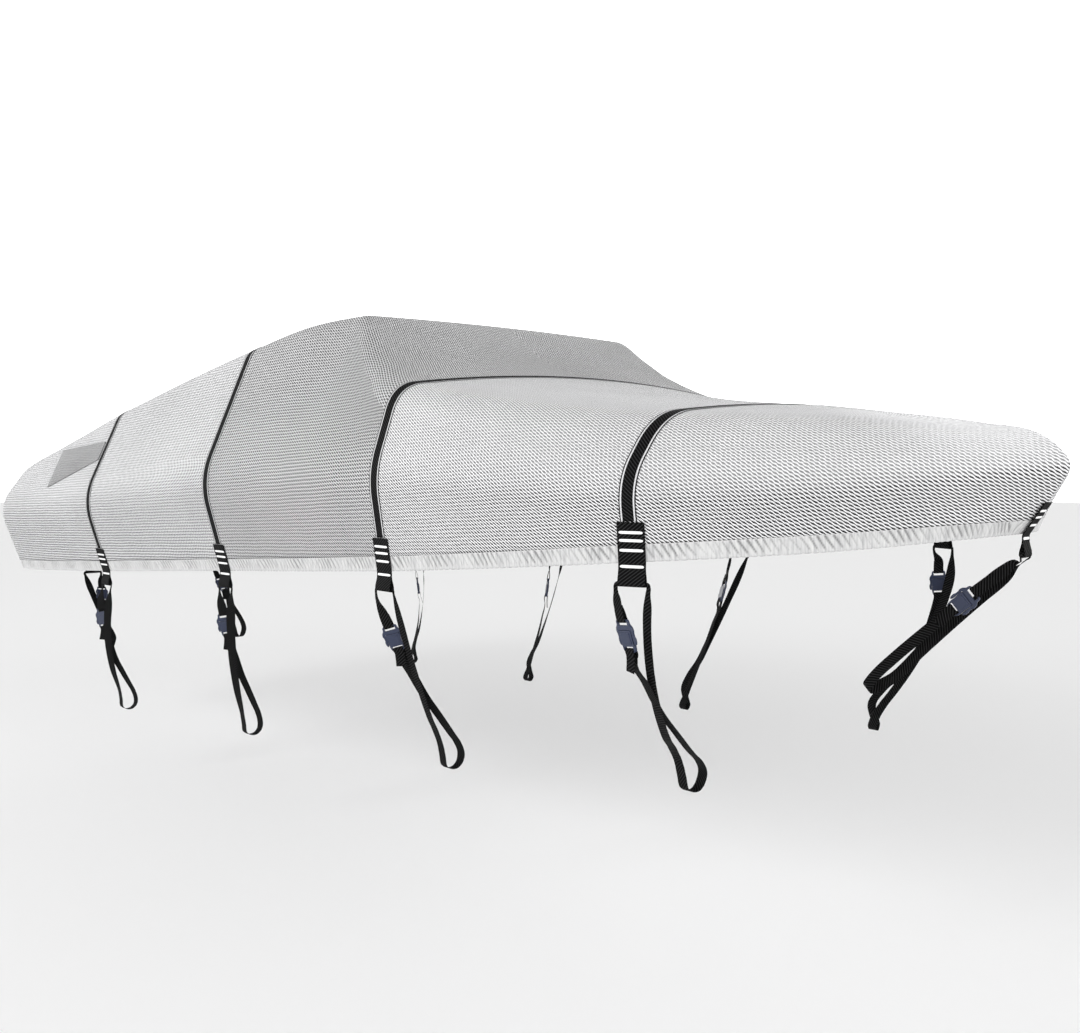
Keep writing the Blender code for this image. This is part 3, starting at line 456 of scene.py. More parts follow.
def mark_pit_shade(made, grid, least):
    """Attribute of how much painted shade shows in the weave's pits, from least where
    the cloth faces up to 1 where it faces down, from the height of its unit normal. On
    top it falls off towards the two ends of the spine, where the sections' planes draw
    together and the yarns would run in rings."""
    normal = np.cross(np.gradient(grid, axis=0), np.gradient(grid, axis=1))
    size = np.linalg.norm(normal, axis=2)
    rise = normal[:, :, 2] / np.where(size > 0, size, 1)
    value = np.interp(rise, (-0.05, 0.15, 0.5), (1.0, 0.45 + 0.55 * least, least))
    for x in (SPINE_AFT_X, SPINE_FORE_X):
        away = np.hypot(grid[:, :, 0] - x, grid[:, :, 1])
        drawn = np.interp(away, (0.15, 0.55), (0.85, 0.0))
        value *= 1 - drawn * np.interp(rise, (0.6, 0.85), (0.0, 1.0))
    mark(made, "pit_shade", value)


# Near-black colours painted into the weave's pits as shade, for the light cloth and the dark.
LIGHT_PIT_SHADE, DARK_PIT_SHADE = (0.004, 0.004, 0.006), (0.006, 0.006, 0.008)
fore_cloth = twill_weave("light_woven_cloth", (0.88, 0.88, 0.89), LIGHT_PIT_SHADE, FORE_WAVES)
aft_cloth = twill_weave("light_woven_cloth_aft", (0.79, 0.79, 0.80), LIGHT_PIT_SHADE, AFT_WAVES)
dark_cloth = twill_weave("dark_woven_cloth", (0.64, 0.64, 0.645), DARK_PIT_SHADE, AFT_WAVES)


def lengths_along(grid, axis):
    """Length along each line of a grid of points, from its start."""
    first = np.take(grid, [0], axis=axis)
    steps = np.diff(grid, axis=axis, prepend=first)
    return np.cumsum(np.linalg.norm(steps, axis=2), axis=axis)


OPENING_LENGTH, OPENING_RATE = 1.1, 0.25  # how the weave opens out towards the bow


def panel(name, start_run, end_run, material, least):
    """One panel, from its hem band on one side to the other. u follows each line of
    the grid lengthwise, and v goes up each section from the hem. Over the last length
    before the bow tip the weave opens out: there u falls behind by the rate times the
    square of the way since then."""
    port = half_sections(stations_at(runs_between(start_run, end_run, PANEL_STEP)),
                         start=HEM_BAND - UNDER_BAND)
    u, v = lengths_along(port, 0) + start_run, lengths_along(port, 1)
    u -= OPENING_RATE * np.clip(u - (RIM[-1, 0] - OPENING_LENGTH), 0, None) ** 2
    grid = both_sides(port)
    made = surface(name, grid, np.concatenate([u, u[:, -2::-1]], axis=1),
                   np.concatenate([v, v[:, -2::-1]], axis=1), material)
    mark_pit_shade(made, grid, least)
    merge_doubles(made)
    thicken(made, CLOTH)
    return made


# Each panel's start and end round the rim, cloth, and share of the painted pit shade on top.
aft_seam, fore_seam = side_run(AFT_SEAM_X), side_run(FORE_SEAM_X)
PANELS = {
    "aft": (0.0, aft_seam - SEAM_GAP / 2, aft_cloth, LIGHT_TOP),
    "mid": (aft_seam + SEAM_GAP / 2, fore_seam - SEAM_GAP / 2, dark_cloth, DARK_TOP),
    "fore": (fore_seam + SEAM_GAP / 2, RIM[-1, 0], fore_cloth, LIGHT_TOP),
}
panels = {name: panel(f"{name}_panel", *row) for name, row in PANELS.items()}


# ============ gathered hem
# The panels' lower edge is bound in near-white cloth, which is folded under at the
# bottom, sewn down along its top and pulled up into small slanting puckers.

HEM_STEP = 0.0025
HEM_CLOTH = 0.0016
PUCKER_PITCH = 0.025
PUCKER_DEPTH = 0.0050
PUCKER_LIFT = 0.0020
PUCKER_FREE = 0.015  # over which puckers come back beside a tab

# The band's section, from its top: height above the hem, and how far back it lies.
HEM_SECTION = np.array([
    (0.060, 0.0028), (0.0555, 0.0016), (0.053, 0.0004), (0.049, 0), (0.043, 0), (0.036, 0),
    (0.029, 0), (0.022, 0), (0.015, 0), (0.008, 0), (0.002, 0.0006), (0.000, 0.0022),
    (0.001, 0.0050), (0.006, 0.0068),
])

# Slow sways of the puckers' phase: size in radians, length, and start in radians.
PUCKER_SWAYS = ((1.3, 0.31, 1.0), (0.9, 0.137, 2.2))
CROSS_STRAP_X = (-1.925, -0.690, 0.529, 1.629)
STERN_TIE_Y = 0.55
TAB_WIDTH = 0.088

# Places along the hem of the tabs, to port; the bow one is at the rim's end.
TAB_RUNS = np.array([STERN_TIE_Y, *(side_run(x) for x in CROSS_STRAP_X), RIM[-1, 0]])


def unit_rows(vectors):
    return vectors / np.linalg.norm(vectors, axis=-1, keepdims=True)


def hem_frame(runs):
    """Hem points at signed ways round the rim (port ones above 0), with directions up
    the flap and outwards."""
    port = half_sections(stations_at(np.abs(runs)), steps=(1, 1, 1, 1, 1))
    sides = np.column_stack([np.ones_like(runs), np.sign(runs + 1e-9), np.ones_like(runs)])
    hem = port[:, 0] * sides
    up = unit_rows(port[:, 1] - port[:, 0]) * sides
    out = unit_rows(np.cross(up, np.gradient(hem, axis=0)))
    return hem, up, out


def hem_strip(name, runs):
    """Hem band over a line of signed runs. Each pucker is a rounded fold between two
    creases: it lies back by depth (1 - |sin(phase / 2)|^0.7). The phase slants with
    height, forwards on the way down, but backwards beside the bow tab. The creases
    start at the sewn upper edge and fade towards the rolled lower one."""
    hem, up, out = hem_frame(runs)
    height, back = HEM_SECTION.T
    way = np.abs(runs)[:, None] * np.ones_like(height)
    slant = np.interp(RIM[-1, 0] - way, (0.08, 0.16), (-0.7, 0.6))
    phase = 2 * np.pi * (way + slant * height) / PUCKER_PITCH
    for size, length, start in PUCKER_SWAYS:
        phase = phase + size * np.sin(2 * np.pi * way / length + start)
    crease_and_shade = 1 - np.abs(np.sin(phase / 2)) ** 0.7
    swell = 0.72 + 0.28 * np.sin(2 * np.pi * way / 0.23 + 0.7)
    beside = np.min(np.abs(np.abs(runs)[:, None] - TAB_RUNS), axis=1) - TAB_WIDTH / 2
    free = np.clip(beside / PUCKER_FREE + 0.6, 0, 1)[:, None]
    fade = np.interp(height, [0.004, 0.014, 0.049, 0.056], [0.15, 0.8, 1, 0])
    along = runs[:, None] * np.ones_like(height)
    depth = PUCKER_DEPTH * crease_and_shade * swell * free * fade
    rise = height + PUCKER_LIFT * crease_and_shade * free * (1 - height / HEM_SECTION[0, 0])
    grid = (hem[:, None] + up[:, None] * rise[:, :, None]
            - out[:, None] * (back + depth)[:, :, None])
    made = surface(name, grid, along, rise, hem_cloth)
    # Where shade is painted on the band: in the creases of the puckers, as deep as they fold.
    mark(made, "crease_and_shade", crease_and_shade * free * swell * fade)
    thicken(made, HEM_CLOTH)
    return made


def binding_cloth():
    """Near-white satin: fine ribs across the band, and painted shade, grey, in the creases.
    """
    made, tree, shader = new_finish("hem_binding", (0.64, 0.64, 0.65), 0.45,
                                    Sheen_Weight=0.1, Specular_IOR_Level=0.4)
    stretch = add_node(tree, "ShaderNodeMapping")
    stretch.inputs["Scale"].default_value = (150.0, 18.0, 1.0)
    tree.links.new(weave_place(tree)[0], stretch.inputs["Vector"])
    ribs = noise(tree, stretch.outputs[0], 1.0, 3.0)
    tone = ramp(tree, ribs, [(0.30, (0.38, 0.38, 0.385)), (0.52, (0.54, 0.54, 0.54)),
                             (0.8, (0.64, 0.64, 0.63))])
    # Painted shade: the band is greyed in its creases.
    crease_and_shade = ramp(tree, marked(tree, "crease_and_shade"), [(0.15, 0.0), (0.60, 0.9)])
    colour = mixed(tree, crease_and_shade, tone, (0.20, 0.20, 0.20, 1.0))
    tree.links.new(colour, shader.inputs["Base Color"])
    bumped(tree, shader, ribs, 0.0012, 0.7)
    return made


hem_cloth = binding_cloth()

# Each panel's flat size and area, and its hem's strips with their signed runs.
SHEETS = {
    "aft": ((3.6, 3.9), 10.9, [("aft_hem", (-PANELS["aft"][1], PANELS["aft"][1]))]),
    "mid": ((1.5, 3.7), 4.7, [("mid_hem_near", (-PANELS["mid"][1], -PANELS["mid"][0])),
                              ("mid_hem_far", PANELS["mid"][:2])]),
    "fore": ((2.5, 3.3), 5.5, [("fore_hem_near", (-RIM[-1, 0], -PANELS["fore"][0])),
                               ("fore_hem_far", (PANELS["fore"][0], RIM[-1, 0]))]),
}
for part, (flat, area, strips) in SHEETS.items():
    hems = [hem_strip(name, runs_between(*span, HEM_STEP)) for name, span in strips]
    for piece in (panels[part], *hems):
        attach(piece, "root")
        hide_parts(f"cover_{part}")


# ============ cross straps
# Flat polyester webbing, 54 mm wide, laid over the cover and sewn down along both
# edges from tab to tab. A light line is woven in beside each edge of a black twill.

LAY_GAP = 0.0006
WEBBING = 0.0012
CROSS_STRAP_WIDTH = 0.054
TAB_ABOVE_HEM = 0.124
TAB_BELOW_HEM = 0.062
STRAP_CLEAR = 0.002  # between a tab's top and the strap's end
STRAP_SPREAD = 0.01  # how far each side of the strap's middle its slope is taken
RIB_PITCH = 0.0114  # of the twill's diagonal ribs, along the webbing
YARN_PITCH = 0.0018  # of the warp yarns, across the webbing
LIGHT_LINE = (0.68, 0.86)  # shares of the half width between which it lies


def webbing_finish(name, lined):
    """Black twill: ribs slant across the webbing, s = sin(2 pi (u + 0.8 v) / pitch).
    Lined webbing has a light line beside each edge."""
    made, tree, shader = new_finish(name, (0.01, 0.01, 0.01), 0.7, Specular_IOR_Level=0.06)
    uv, u, v = weave_place(tree)
    slanted = maths(tree, "MULTIPLY_ADD", v, 0.8, u)
    rib = maths(tree, "SINE", maths(tree, "MULTIPLY", slanted, 2 * math.pi / RIB_PITCH))
    fine = maths(tree, "SINE", maths(tree, "MULTIPLY", v, 2 * math.pi / YARN_PITCH))
    level = maths(tree, "MULTIPLY_ADD", rib, 0.32, 0.35)
    level = maths(tree, "MULTIPLY_ADD", noise(tree, uv, 420.0), 0.3, level)
    colour = ramp(tree, level, [(0.58, (0.001, 0.001, 0.001)), (0.82, (0.028, 0.028, 0.029))])
    if lined:
        share = maths(tree, "DIVIDE", maths(tree, "ABSOLUTE", v), CROSS_STRAP_WIDTH / 2)
        start, end = LIGHT_LINE
        mask = ramp(tree, share, [(start - 0.02, 0.0), (start + 0.02, 1.0),
                                  (end - 0.02, 1.0), (end + 0.02, 0.0)])
        colour = mixed(tree, mask, colour, (0.62, 0.62, 0.63, 1.0))
    tree.links.new(colour, shader.inputs["Base Color"])
    height = maths(tree, "MULTIPLY_ADD", fine, 0.15, rib)
    bumped(tree, shader, height, 0.0008, 0.8)
    return made


cross_webbing = webbing_finish("lined_webbing", lined=True)
plain_webbing = webbing_finish("plain_webbing", lined=False)


def ribbon(name, points, across, width, thickness, material):
    """Closed strip of webbing swept along a path. Its section is a flat oval: at a
    share a of the half width, half the thickness is T/2 (1 - a^6)^(1/2). u runs along
    the strip and v across it, in metres."""
    tangent = unit_rows(np.gradient(points, axis=0))
    across = unit_rows(across - np.sum(across * tangent, axis=1, keepdims=True) * tangent)
    face = np.cross(tangent, across)
    share = np.array([-1, -0.97, -0.88, -0.5, 0, 0.5, 0.88, 0.97, 1])
    swell = np.sqrt(1 - share ** 6)
    ring = np.concatenate([share, share[-2:0:-1]])
    lift = np.concatenate([swell, -swell[-2:0:-1]]) * thickness / 2
    sideways = width[:, None] / 2 * ring
    grid = (points[:, None] + across[:, None] * sideways[:, :, None]
            + face[:, None] * lift[:, None])
    run = np.concatenate([[0], np.cumsum(np.linalg.norm(np.diff(points, axis=0), axis=1))])
    rows, columns = len(points), len(ring)
    caps = [range(columns), range(rows * columns - 1, (rows - 1) * columns - 1, -1)]
    return surface(name, grid, run[:, None], sideways, material, closed=True,
                   extra_faces=caps)


def ride_for(piece, node):
    """The piece rides the cover, and the CAD node that it stands for, if any, is hidden."""
    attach(piece, "root")
    if node:
        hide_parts(node)


def cross_strap(number, x):
    """Webbing over the whole section at x, from tab top to tab top."""
    stations = np.array([(s, half_width_at(s), s)
                         for s in (x - STRAP_SPREAD, x, x + STRAP_SPREAD)])
    rows = both_sides(half_sections(stations, steps=(10, 14, 12, 14, 26),
                                    start=TAB_ABOVE_HEM + STRAP_CLEAR))
    middle = rows[1]
    across = unit_rows(rows[2] - rows[0])
    face = unit_rows(np.cross(across, np.gradient(middle, axis=0)))
    face *= np.sign(face[:, 2].sum())
    lifted = middle + face * (LAY_GAP + WEBBING / 2)
    made = ribbon(f"cross_strap_{number}_webbing", lifted, across,
                  np.full(len(lifted), CROSS_STRAP_WIDTH), WEBBING, cross_webbing)
    ride_for(made, f"cross_strap_{number}")


for number, x in enumerate(CROSS_STRAP_X, 1):
    cross_strap(number, x)


# ============ shoulder patches
# A four-cornered piece of darker cloth, cut from the same weave, on each aft shoulder.
# It is sewn down at its edges and puffed out most near its upper aft corner.

# (x, height) of the corners: upper aft, upper fore, lower fore and lower aft.
PATCH_CORNERS = ((-2.600, 1.705), (-1.956, 1.748), (-1.956, 1.655), (-2.560, 1.500))
PATCH_GAP = 0.0025
PATCH_PUFF = 0.022
PATCH_CREASES = 0.10  # share of the puff
PATCH_POINTS = (60, 30)
PATCH_TOP = 0.3  # share of the painted pit shade that shows on it


def patch(name, side, material):
    """Patch as a grid of s along it and t down it, between its four corners; it rises
    off the cloth by puff sin(pi s^0.7) sin(pi t^0.7), with low creases across it."""
    corners = np.array(PATCH_CORNERS)
    s = np.linspace(0, 1, PATCH_POINTS[0])[:, None]
    t = np.linspace(0, 1, PATCH_POINTS[1])[None]
    x, height = ((1 - s) * (1 - t) * corners[0, k] + s * (1 - t) * corners[1, k]
                 + s * t * corners[2, k] + (1 - s) * t * corners[3, k] for k in (0, 1))
    z = height - ORIGIN_HEIGHT
    stations = np.column_stack([x.ravel(), half_width_at(x.ravel()), x.ravel()])
    sections = half_sections(stations, steps=(2, 8, 2, 8, 4))
    y = np.array([np.interp(level, line[:, 2], line[:, 1])
                  for level, line in zip(z.ravel(), sections)]).reshape(x.shape)
    face = np.stack([x, y, z], axis=2)
    normal = unit_rows(np.cross(np.gradient(face, axis=0), np.gradient(face, axis=1)))
    puff = np.sin(np.pi * s ** 0.7) * np.sin(np.pi * t ** 0.7)
    creases = PATCH_CREASES * np.sin(np.pi * t) * np.sin(9 * s + 4 * t) * np.sin(np.pi * s)
    rise = PATCH_GAP + CLOTH + PATCH_PUFF * np.clip(puff + creases * puff, 0, 1)
    grid = face + normal * rise[:, :, None]
    if side < 0:
        grid = (grid * (1, -1, 1))[::-1]
    made = surface(name, grid, lengths_along(grid, 0), lengths_along(grid, 1), material)
    mark_pit_shade(made, grid, PATCH_TOP)
    thicken(made, CLOTH)
    node = "patch_near" if side < 0 else "patch_far"
    ride_for(made, node)


# The patch cloth's second colour, (0.09, 0.09, 0.095), is painted shade for its pits.
puffed_cloth = twill_weave("patch_cloth", (0.37, 0.37, 0.375), (0.09, 0.09, 0.095), AFT_WAVES)
patch("near_patch_cloth", -1, puffed_cloth)
patch("far_patch_cloth", 1, puffed_cloth)


# ============ tie-down tabs
# Wide webbing folded in two and bar-tacked over the end of each cross strap, over the
# stern and at the bow. Below the hem it opens into the loop that the strap threads.

TAB_LOOP_RADIUS = 0.009
TAB_PARTS_AT = 0.046  # its layers part this far above the fold
TAB_ROUNDING = 0.006  # where the tab bends at the hem
POCKET_GAP = 0.0006  # between its layers
LOOP_TURN = (8, -188)  # degrees, from its outer face downwards
LAYER_POINTS, NECK_POINTS, LOOP_POINTS = 40, 8, 23
BAR_PLACES = (0.031, 0.0555, 0.0855, 0.135)  # of the tacks, down from the tab's top
BAR_WIDTH, BAR_HEIGHT, BAR_RISE = 0.0775, 0.0090, 0.0011
BAR_LIFT, BAR_LEAN = 0.0003, 0.12  # off the layer, and out with the neck

# Each strap's foot from its tab's fold: forwards, towards the centre line and down; how
# far its fore and aft legs bow outwards, how far down the buckle starts, and how many
# degrees the fore and aft legs' faces turn forwards.
SIDE_TIES = (
    (+0.050, 0.050, 0.658, 0.040, 0.060, 0.125, 40, 40),
    (-0.065, 0.130, 0.700, 0.025, 0.035, 0.128, 40, 40),
    (-0.055, 0.332, 0.735, 0.015, 0.045, 0.160, 0, 40),
    (-0.085, 0.381, 0.728, 0.115, 0.140, 0.122, -28, -28),
)
STERN_TIE = (0.220, 0.000, 0.493, 0.020, 0.030, 0.110, 0, 0)
BOW_TIE = (-0.530, 0.000, 0.503, -0.010, -0.010, 0.180, 0, 0)
BOW_TAB_WIDTH = 0.056
FOOT_INNER_WIDTH, FOOT_SLANT, BOW_FOOT_SLANT = 0.060, 0.028, 0.018


def unit(vector):
    return np.asarray(vector) / np.linalg.norm(vector)


class Site:
    """Where a tie-down hangs: directions along the hem, up the tab and out of its face,
    and the middle of the loop at its fold. The tab follows the cloth down to the hem,
    where lap is, and hangs plumb below it. The strap's width lies along fore_lay and
    lay in its two legs, and its buckle faces show."""

    def __init__(self, name, runs, tie, side=1):
        self.name = name
        self.tie = tie
        self.tab_width, self.foot_slant = TAB_WIDTH, FOOT_SLANT
        stations = stations_at(np.abs(runs))
        stations[:, 1] *= np.sign(runs)
        low, high = half_sections(stations)[:, (0, 6)].transpose(1, 0, 2) * (1, side, 1)
        self.hem = low[1]
        way = low[2] - low[0] + high[2] - high[0]
        face = unit(np.cross(way, high[1] - low[1]))
        self.face = face * np.sign(np.dot(face, self.hem))
        along = unit(np.cross(self.face, (0, 0, 1)))
        self.along = along * np.sign(np.dot(along, way))
        up = np.cross(self.face, self.along)
        self.up = up * np.sign(up[2])
        self.out = unit(self.face * (1, 1, 0))
        clear = max(np.dot(p - self.hem, self.face) for p in (*low, *high))
        fold_out = clear + 2 * LAY_GAP + WEBBING + POCKET_GAP / 2
        self.lap = self.hem + self.face * fold_out
        self.lap_face, self.lap_up = self.face, self.up
        self.face, self.up = self.out, np.array([0, 0, 1.0])
        self.fold = self.lap - self.up * TAB_BELOW_HEM
        forwards, inwards, down = tie[:3]
        self.foot = self.fold + (forwards, -np.sign(self.hem[1]) * inwards, -down)
        fore_turn, turn = math.radians(tie[6]), math.radians(tie[7])
        self.fore_lay = self.along * math.cos(fore_turn) - self.out * math.sin(fore_turn)
        self.lay = self.along * math.cos(turn) - self.out * math.sin(turn)
        self.show = self.out * math.cos(turn) + self.along * math.sin(turn)
        self.foot_axes = (np.round(self.along), np.round(self.out), np.array([0, 0, 1.0]))
        self.on_edge = False

    def hang_on_edge(self, tab_width, foot_slant):
        """The strap lies on edge, a leg on each side of what it is tied to and its
        broad face to the side."""
        self.on_edge = True
        self.tab_width, self.foot_slant = tab_width, foot_slant
        middle = self.fold + (self.tie[0], 0, -self.tie[2])
        down = unit(middle - self.fold)
        self.lay, self.show = unit(np.cross(self.along, down)), -self.along
        self.fore_lay = self.lay
        self.foot = middle + self.along * FOOT_INNER_WIDTH / 2
        self.foot_axes = (self.lay, self.along, -down)


def all_sites():
    """Four tie-downs a side, two at the stern and one at the bow. Each tab's place is
    given by the ways round the rim of its two edges and its middle."""
    spread = np.array([-1, 0, 1]) * TAB_WIDTH / 2
    sites = []
    for side, word in ((-1, "near"), (1, "far")):
        for number, (x, tie) in enumerate(zip(CROSS_STRAP_X, SIDE_TIES), 1):
            sites.append(Site(f"{word}_{number}", side_run(x + spread), tie, side))
        sites.append(Site(f"stern_{word}", STERN_TIE_Y + spread, STERN_TIE, side))
    edge = np.interp(spread[0], -RIM[-BOW_POINTS:, 2], RIM[-BOW_POINTS:, 0])
    sites.append(Site("bow", np.array([-edge, RIM[-1, 0], edge]), BOW_TIE))
    sites[-1].hang_on_edge(BOW_TAB_WIDTH, BOW_FOOT_SLANT)
    return sites


def on_tab(site, rise, out):
    """Points on a tab at heights above its hem line, out of its middle plane. A short
    rounding at the hem joins its slope on the cloth to the plumb part below."""
    low = 0.5 - 0.5 * np.tanh(rise / TAB_ROUNDING)
    up = np.where(rise > 0, rise, 0)[:, None] * site.lap_up + np.where(
        rise > 0, 0, rise)[:, None] * site.up
    face = unit_rows(site.lap_face * (1 - low)[:, None] + site.face * low[:, None])
    return site.lap + up + out[:, None] * face


def tab(site):
    """Folded webbing: down the outer layer, round the loop and up the inner one."""
    layer = (POCKET_GAP + WEBBING) / 2
    radius = TAB_LOOP_RADIUS + WEBBING / 2
    turn = np.radians(np.linspace(*LOOP_TURN, LOOP_POINTS))
    outs = radius * np.cos(turn)
    ups = radius * np.sin(turn)
    down = np.linspace(TAB_ABOVE_HEM + TAB_BELOW_HEM, TAB_PARTS_AT, LAYER_POINTS)
    neck = np.linspace(0, 1, NECK_POINTS + 2)[1:-1]
    neck_up = TAB_PARTS_AT + (ups[0] - TAB_PARTS_AT) * neck
    neck_out = layer + (outs[0] - layer) * (3 * neck ** 2 - 2 * neck ** 3)
    out = np.concatenate([np.full(LAYER_POINTS, layer), neck_out, outs, -neck_out[::-1],
                          np.full(LAYER_POINTS, -layer)])
    rise = np.concatenate([down, neck_up, ups, neck_up[::-1], down[::-1]]) - TAB_BELOW_HEM
    points = on_tab(site, rise, out)
    across = np.tile(site.along, (len(points), 1))
    made = ribbon(f"tab_{site.name}_webbing", points, across,
                  np.full(len(points), site.tab_width), WEBBING, plain_webbing)
    ride_for(made, f"tab_{site.name}")


def bar_tacks(site):
    """Four bars of white thread across the outer layer, each a low rounded ridge: an
    oval ring, drawn in at a share a of the half width to (1 - a^10)^(1/2)."""
    a = np.linspace(-1, 1, 33)
    turn = np.linspace(0, 2 * np.pi, 13)[:-1]
    width = site.tab_width - TAB_WIDTH + BAR_WIDTH
    ends = (1 - np.abs(a) ** 10)[:, None, None] ** 0.5
    grids = []
    for place in BAR_PLACES:
        rise = np.array([TAB_ABOVE_HEM - place])
        lean = max(0.0, TAB_PARTS_AT - TAB_BELOW_HEM - rise[0]) * BAR_LEAN
        out = np.array([POCKET_GAP / 2 + WEBBING + BAR_LIFT + lean])
        middle = on_tab(site, rise, out)[0]
        up = site.lap_up if rise[0] > 0 else site.up
        face = site.lap_face if rise[0] > 0 else site.face
        ring = (np.cos(turn)[:, None] * BAR_HEIGHT / 2 * up
                + np.sin(turn)[:, None] * BAR_RISE * face)
        grids.append(middle + a[:, None, None] * width / 2 * site.along + ring * ends)
    mesh = bpy.data.meshes.new(f"tab_{site.name}_tacks")
    faces = grid_faces(len(a), len(turn), closed=True)
    handed = np.dot(np.cross(site.up, site.face), site.along)
    faces = faces if handed < 0 else faces[:, ::-1]
    count = len(a) * len(turn)
    every = np.concatenate([faces + k * count for k in range(len(grids))])
    mesh.from_pydata(np.concatenate([g.reshape(-1, 3) for g in grids]), [], every.tolist())
    mesh.materials.append(white_thread)
    mesh.shade_smooth()
    made = add_object(mesh.name, mesh)
    merge_doubles(made)
    ride_for(made, None)


white_thread = new_finish("white_thread", (0.85, 0.85, 0.85), 0.5)[0]
sites = all_sites()
for site in sites:
    tab(site)
    bar_tacks(site)


# ============ tie-down straps
# Black webbing 38 mm wide. It starts stitched round the plug's bar, climbs the aft
# leg, bunches through the tab, goes down the fore leg, round its foot and up behind,
# and ends in a short free tail over the socket's bar.

TIE_WIDTH, TIE_THICKNESS = 0.038, 0.0014
TIE_IN_POCKET, TIE_AT_CORNER, CORNER_RADIUS = 0.030, 0.014, 0.009
FOOT_INNER_HEIGHT, FOOT_ROUND = 0.080, 0.012
POCKET_CLEAR, CORNER_CLEAR = 0.0015, 0.0012  # from the loop's bottom and its ends
STITCHED_END, TAIL = 0.045, 0.060
PLUG_THICKNESS, SOCKET_THICKNESS, BAR_THICKNESS = 0.008, 0.012, 0.005
PLUG_LENGTH, SOCKET_LENGTH, PART_GAP = 0.034, 0.070, 0.0006


def smooth_path(rows, steps):
    """Curve through rows of numbers whose first three are a point: Hermite pieces
    over chord length, each cut into equal steps."""
    rows = np.asarray(rows, dtype=float)
    chord = np.linalg.norm(np.diff(rows[:, :3], axis=0), axis=1)
    slope = np.gradient(rows, np.concatenate([[0], np.cumsum(chord)]), axis=0)
    t = np.linspace(0, 1, steps + 1)[None, 1:, None]
    pieces = hermite(rows[:-1, None], rows[1:, None], slope[:-1, None], slope[1:, None],
                     chord[:, None, None], t)
    return np.concatenate([rows[:1], pieces.reshape(-1, rows.shape[1])])


def arc(centre, first, second, radius, start, stop, steps):
    """Points on an arc in the plane of two unit vectors, angles in degrees."""
    turn = np.radians(np.linspace(start, stop, steps + 1))[:, None]
    return centre + radius * (np.cos(turn) * first + np.sin(turn) * second)


class Buckle:
    """Place of a buckle on the aft leg of its strap: plug up, socket down."""

    def __init__(self, top, foot, site):
        self.top = top
        self.down = unit(foot - top)
        self.across = unit(site.lay - np.dot(site.lay, self.down) * self.down)
        self.front = unit(np.cross(self.down, self.across))
        self.front *= np.sign(np.dot(self.front, site.show))

    def at(self, down, front, across=0.0):
        return self.top + self.down * down + self.front * front + self.across * across


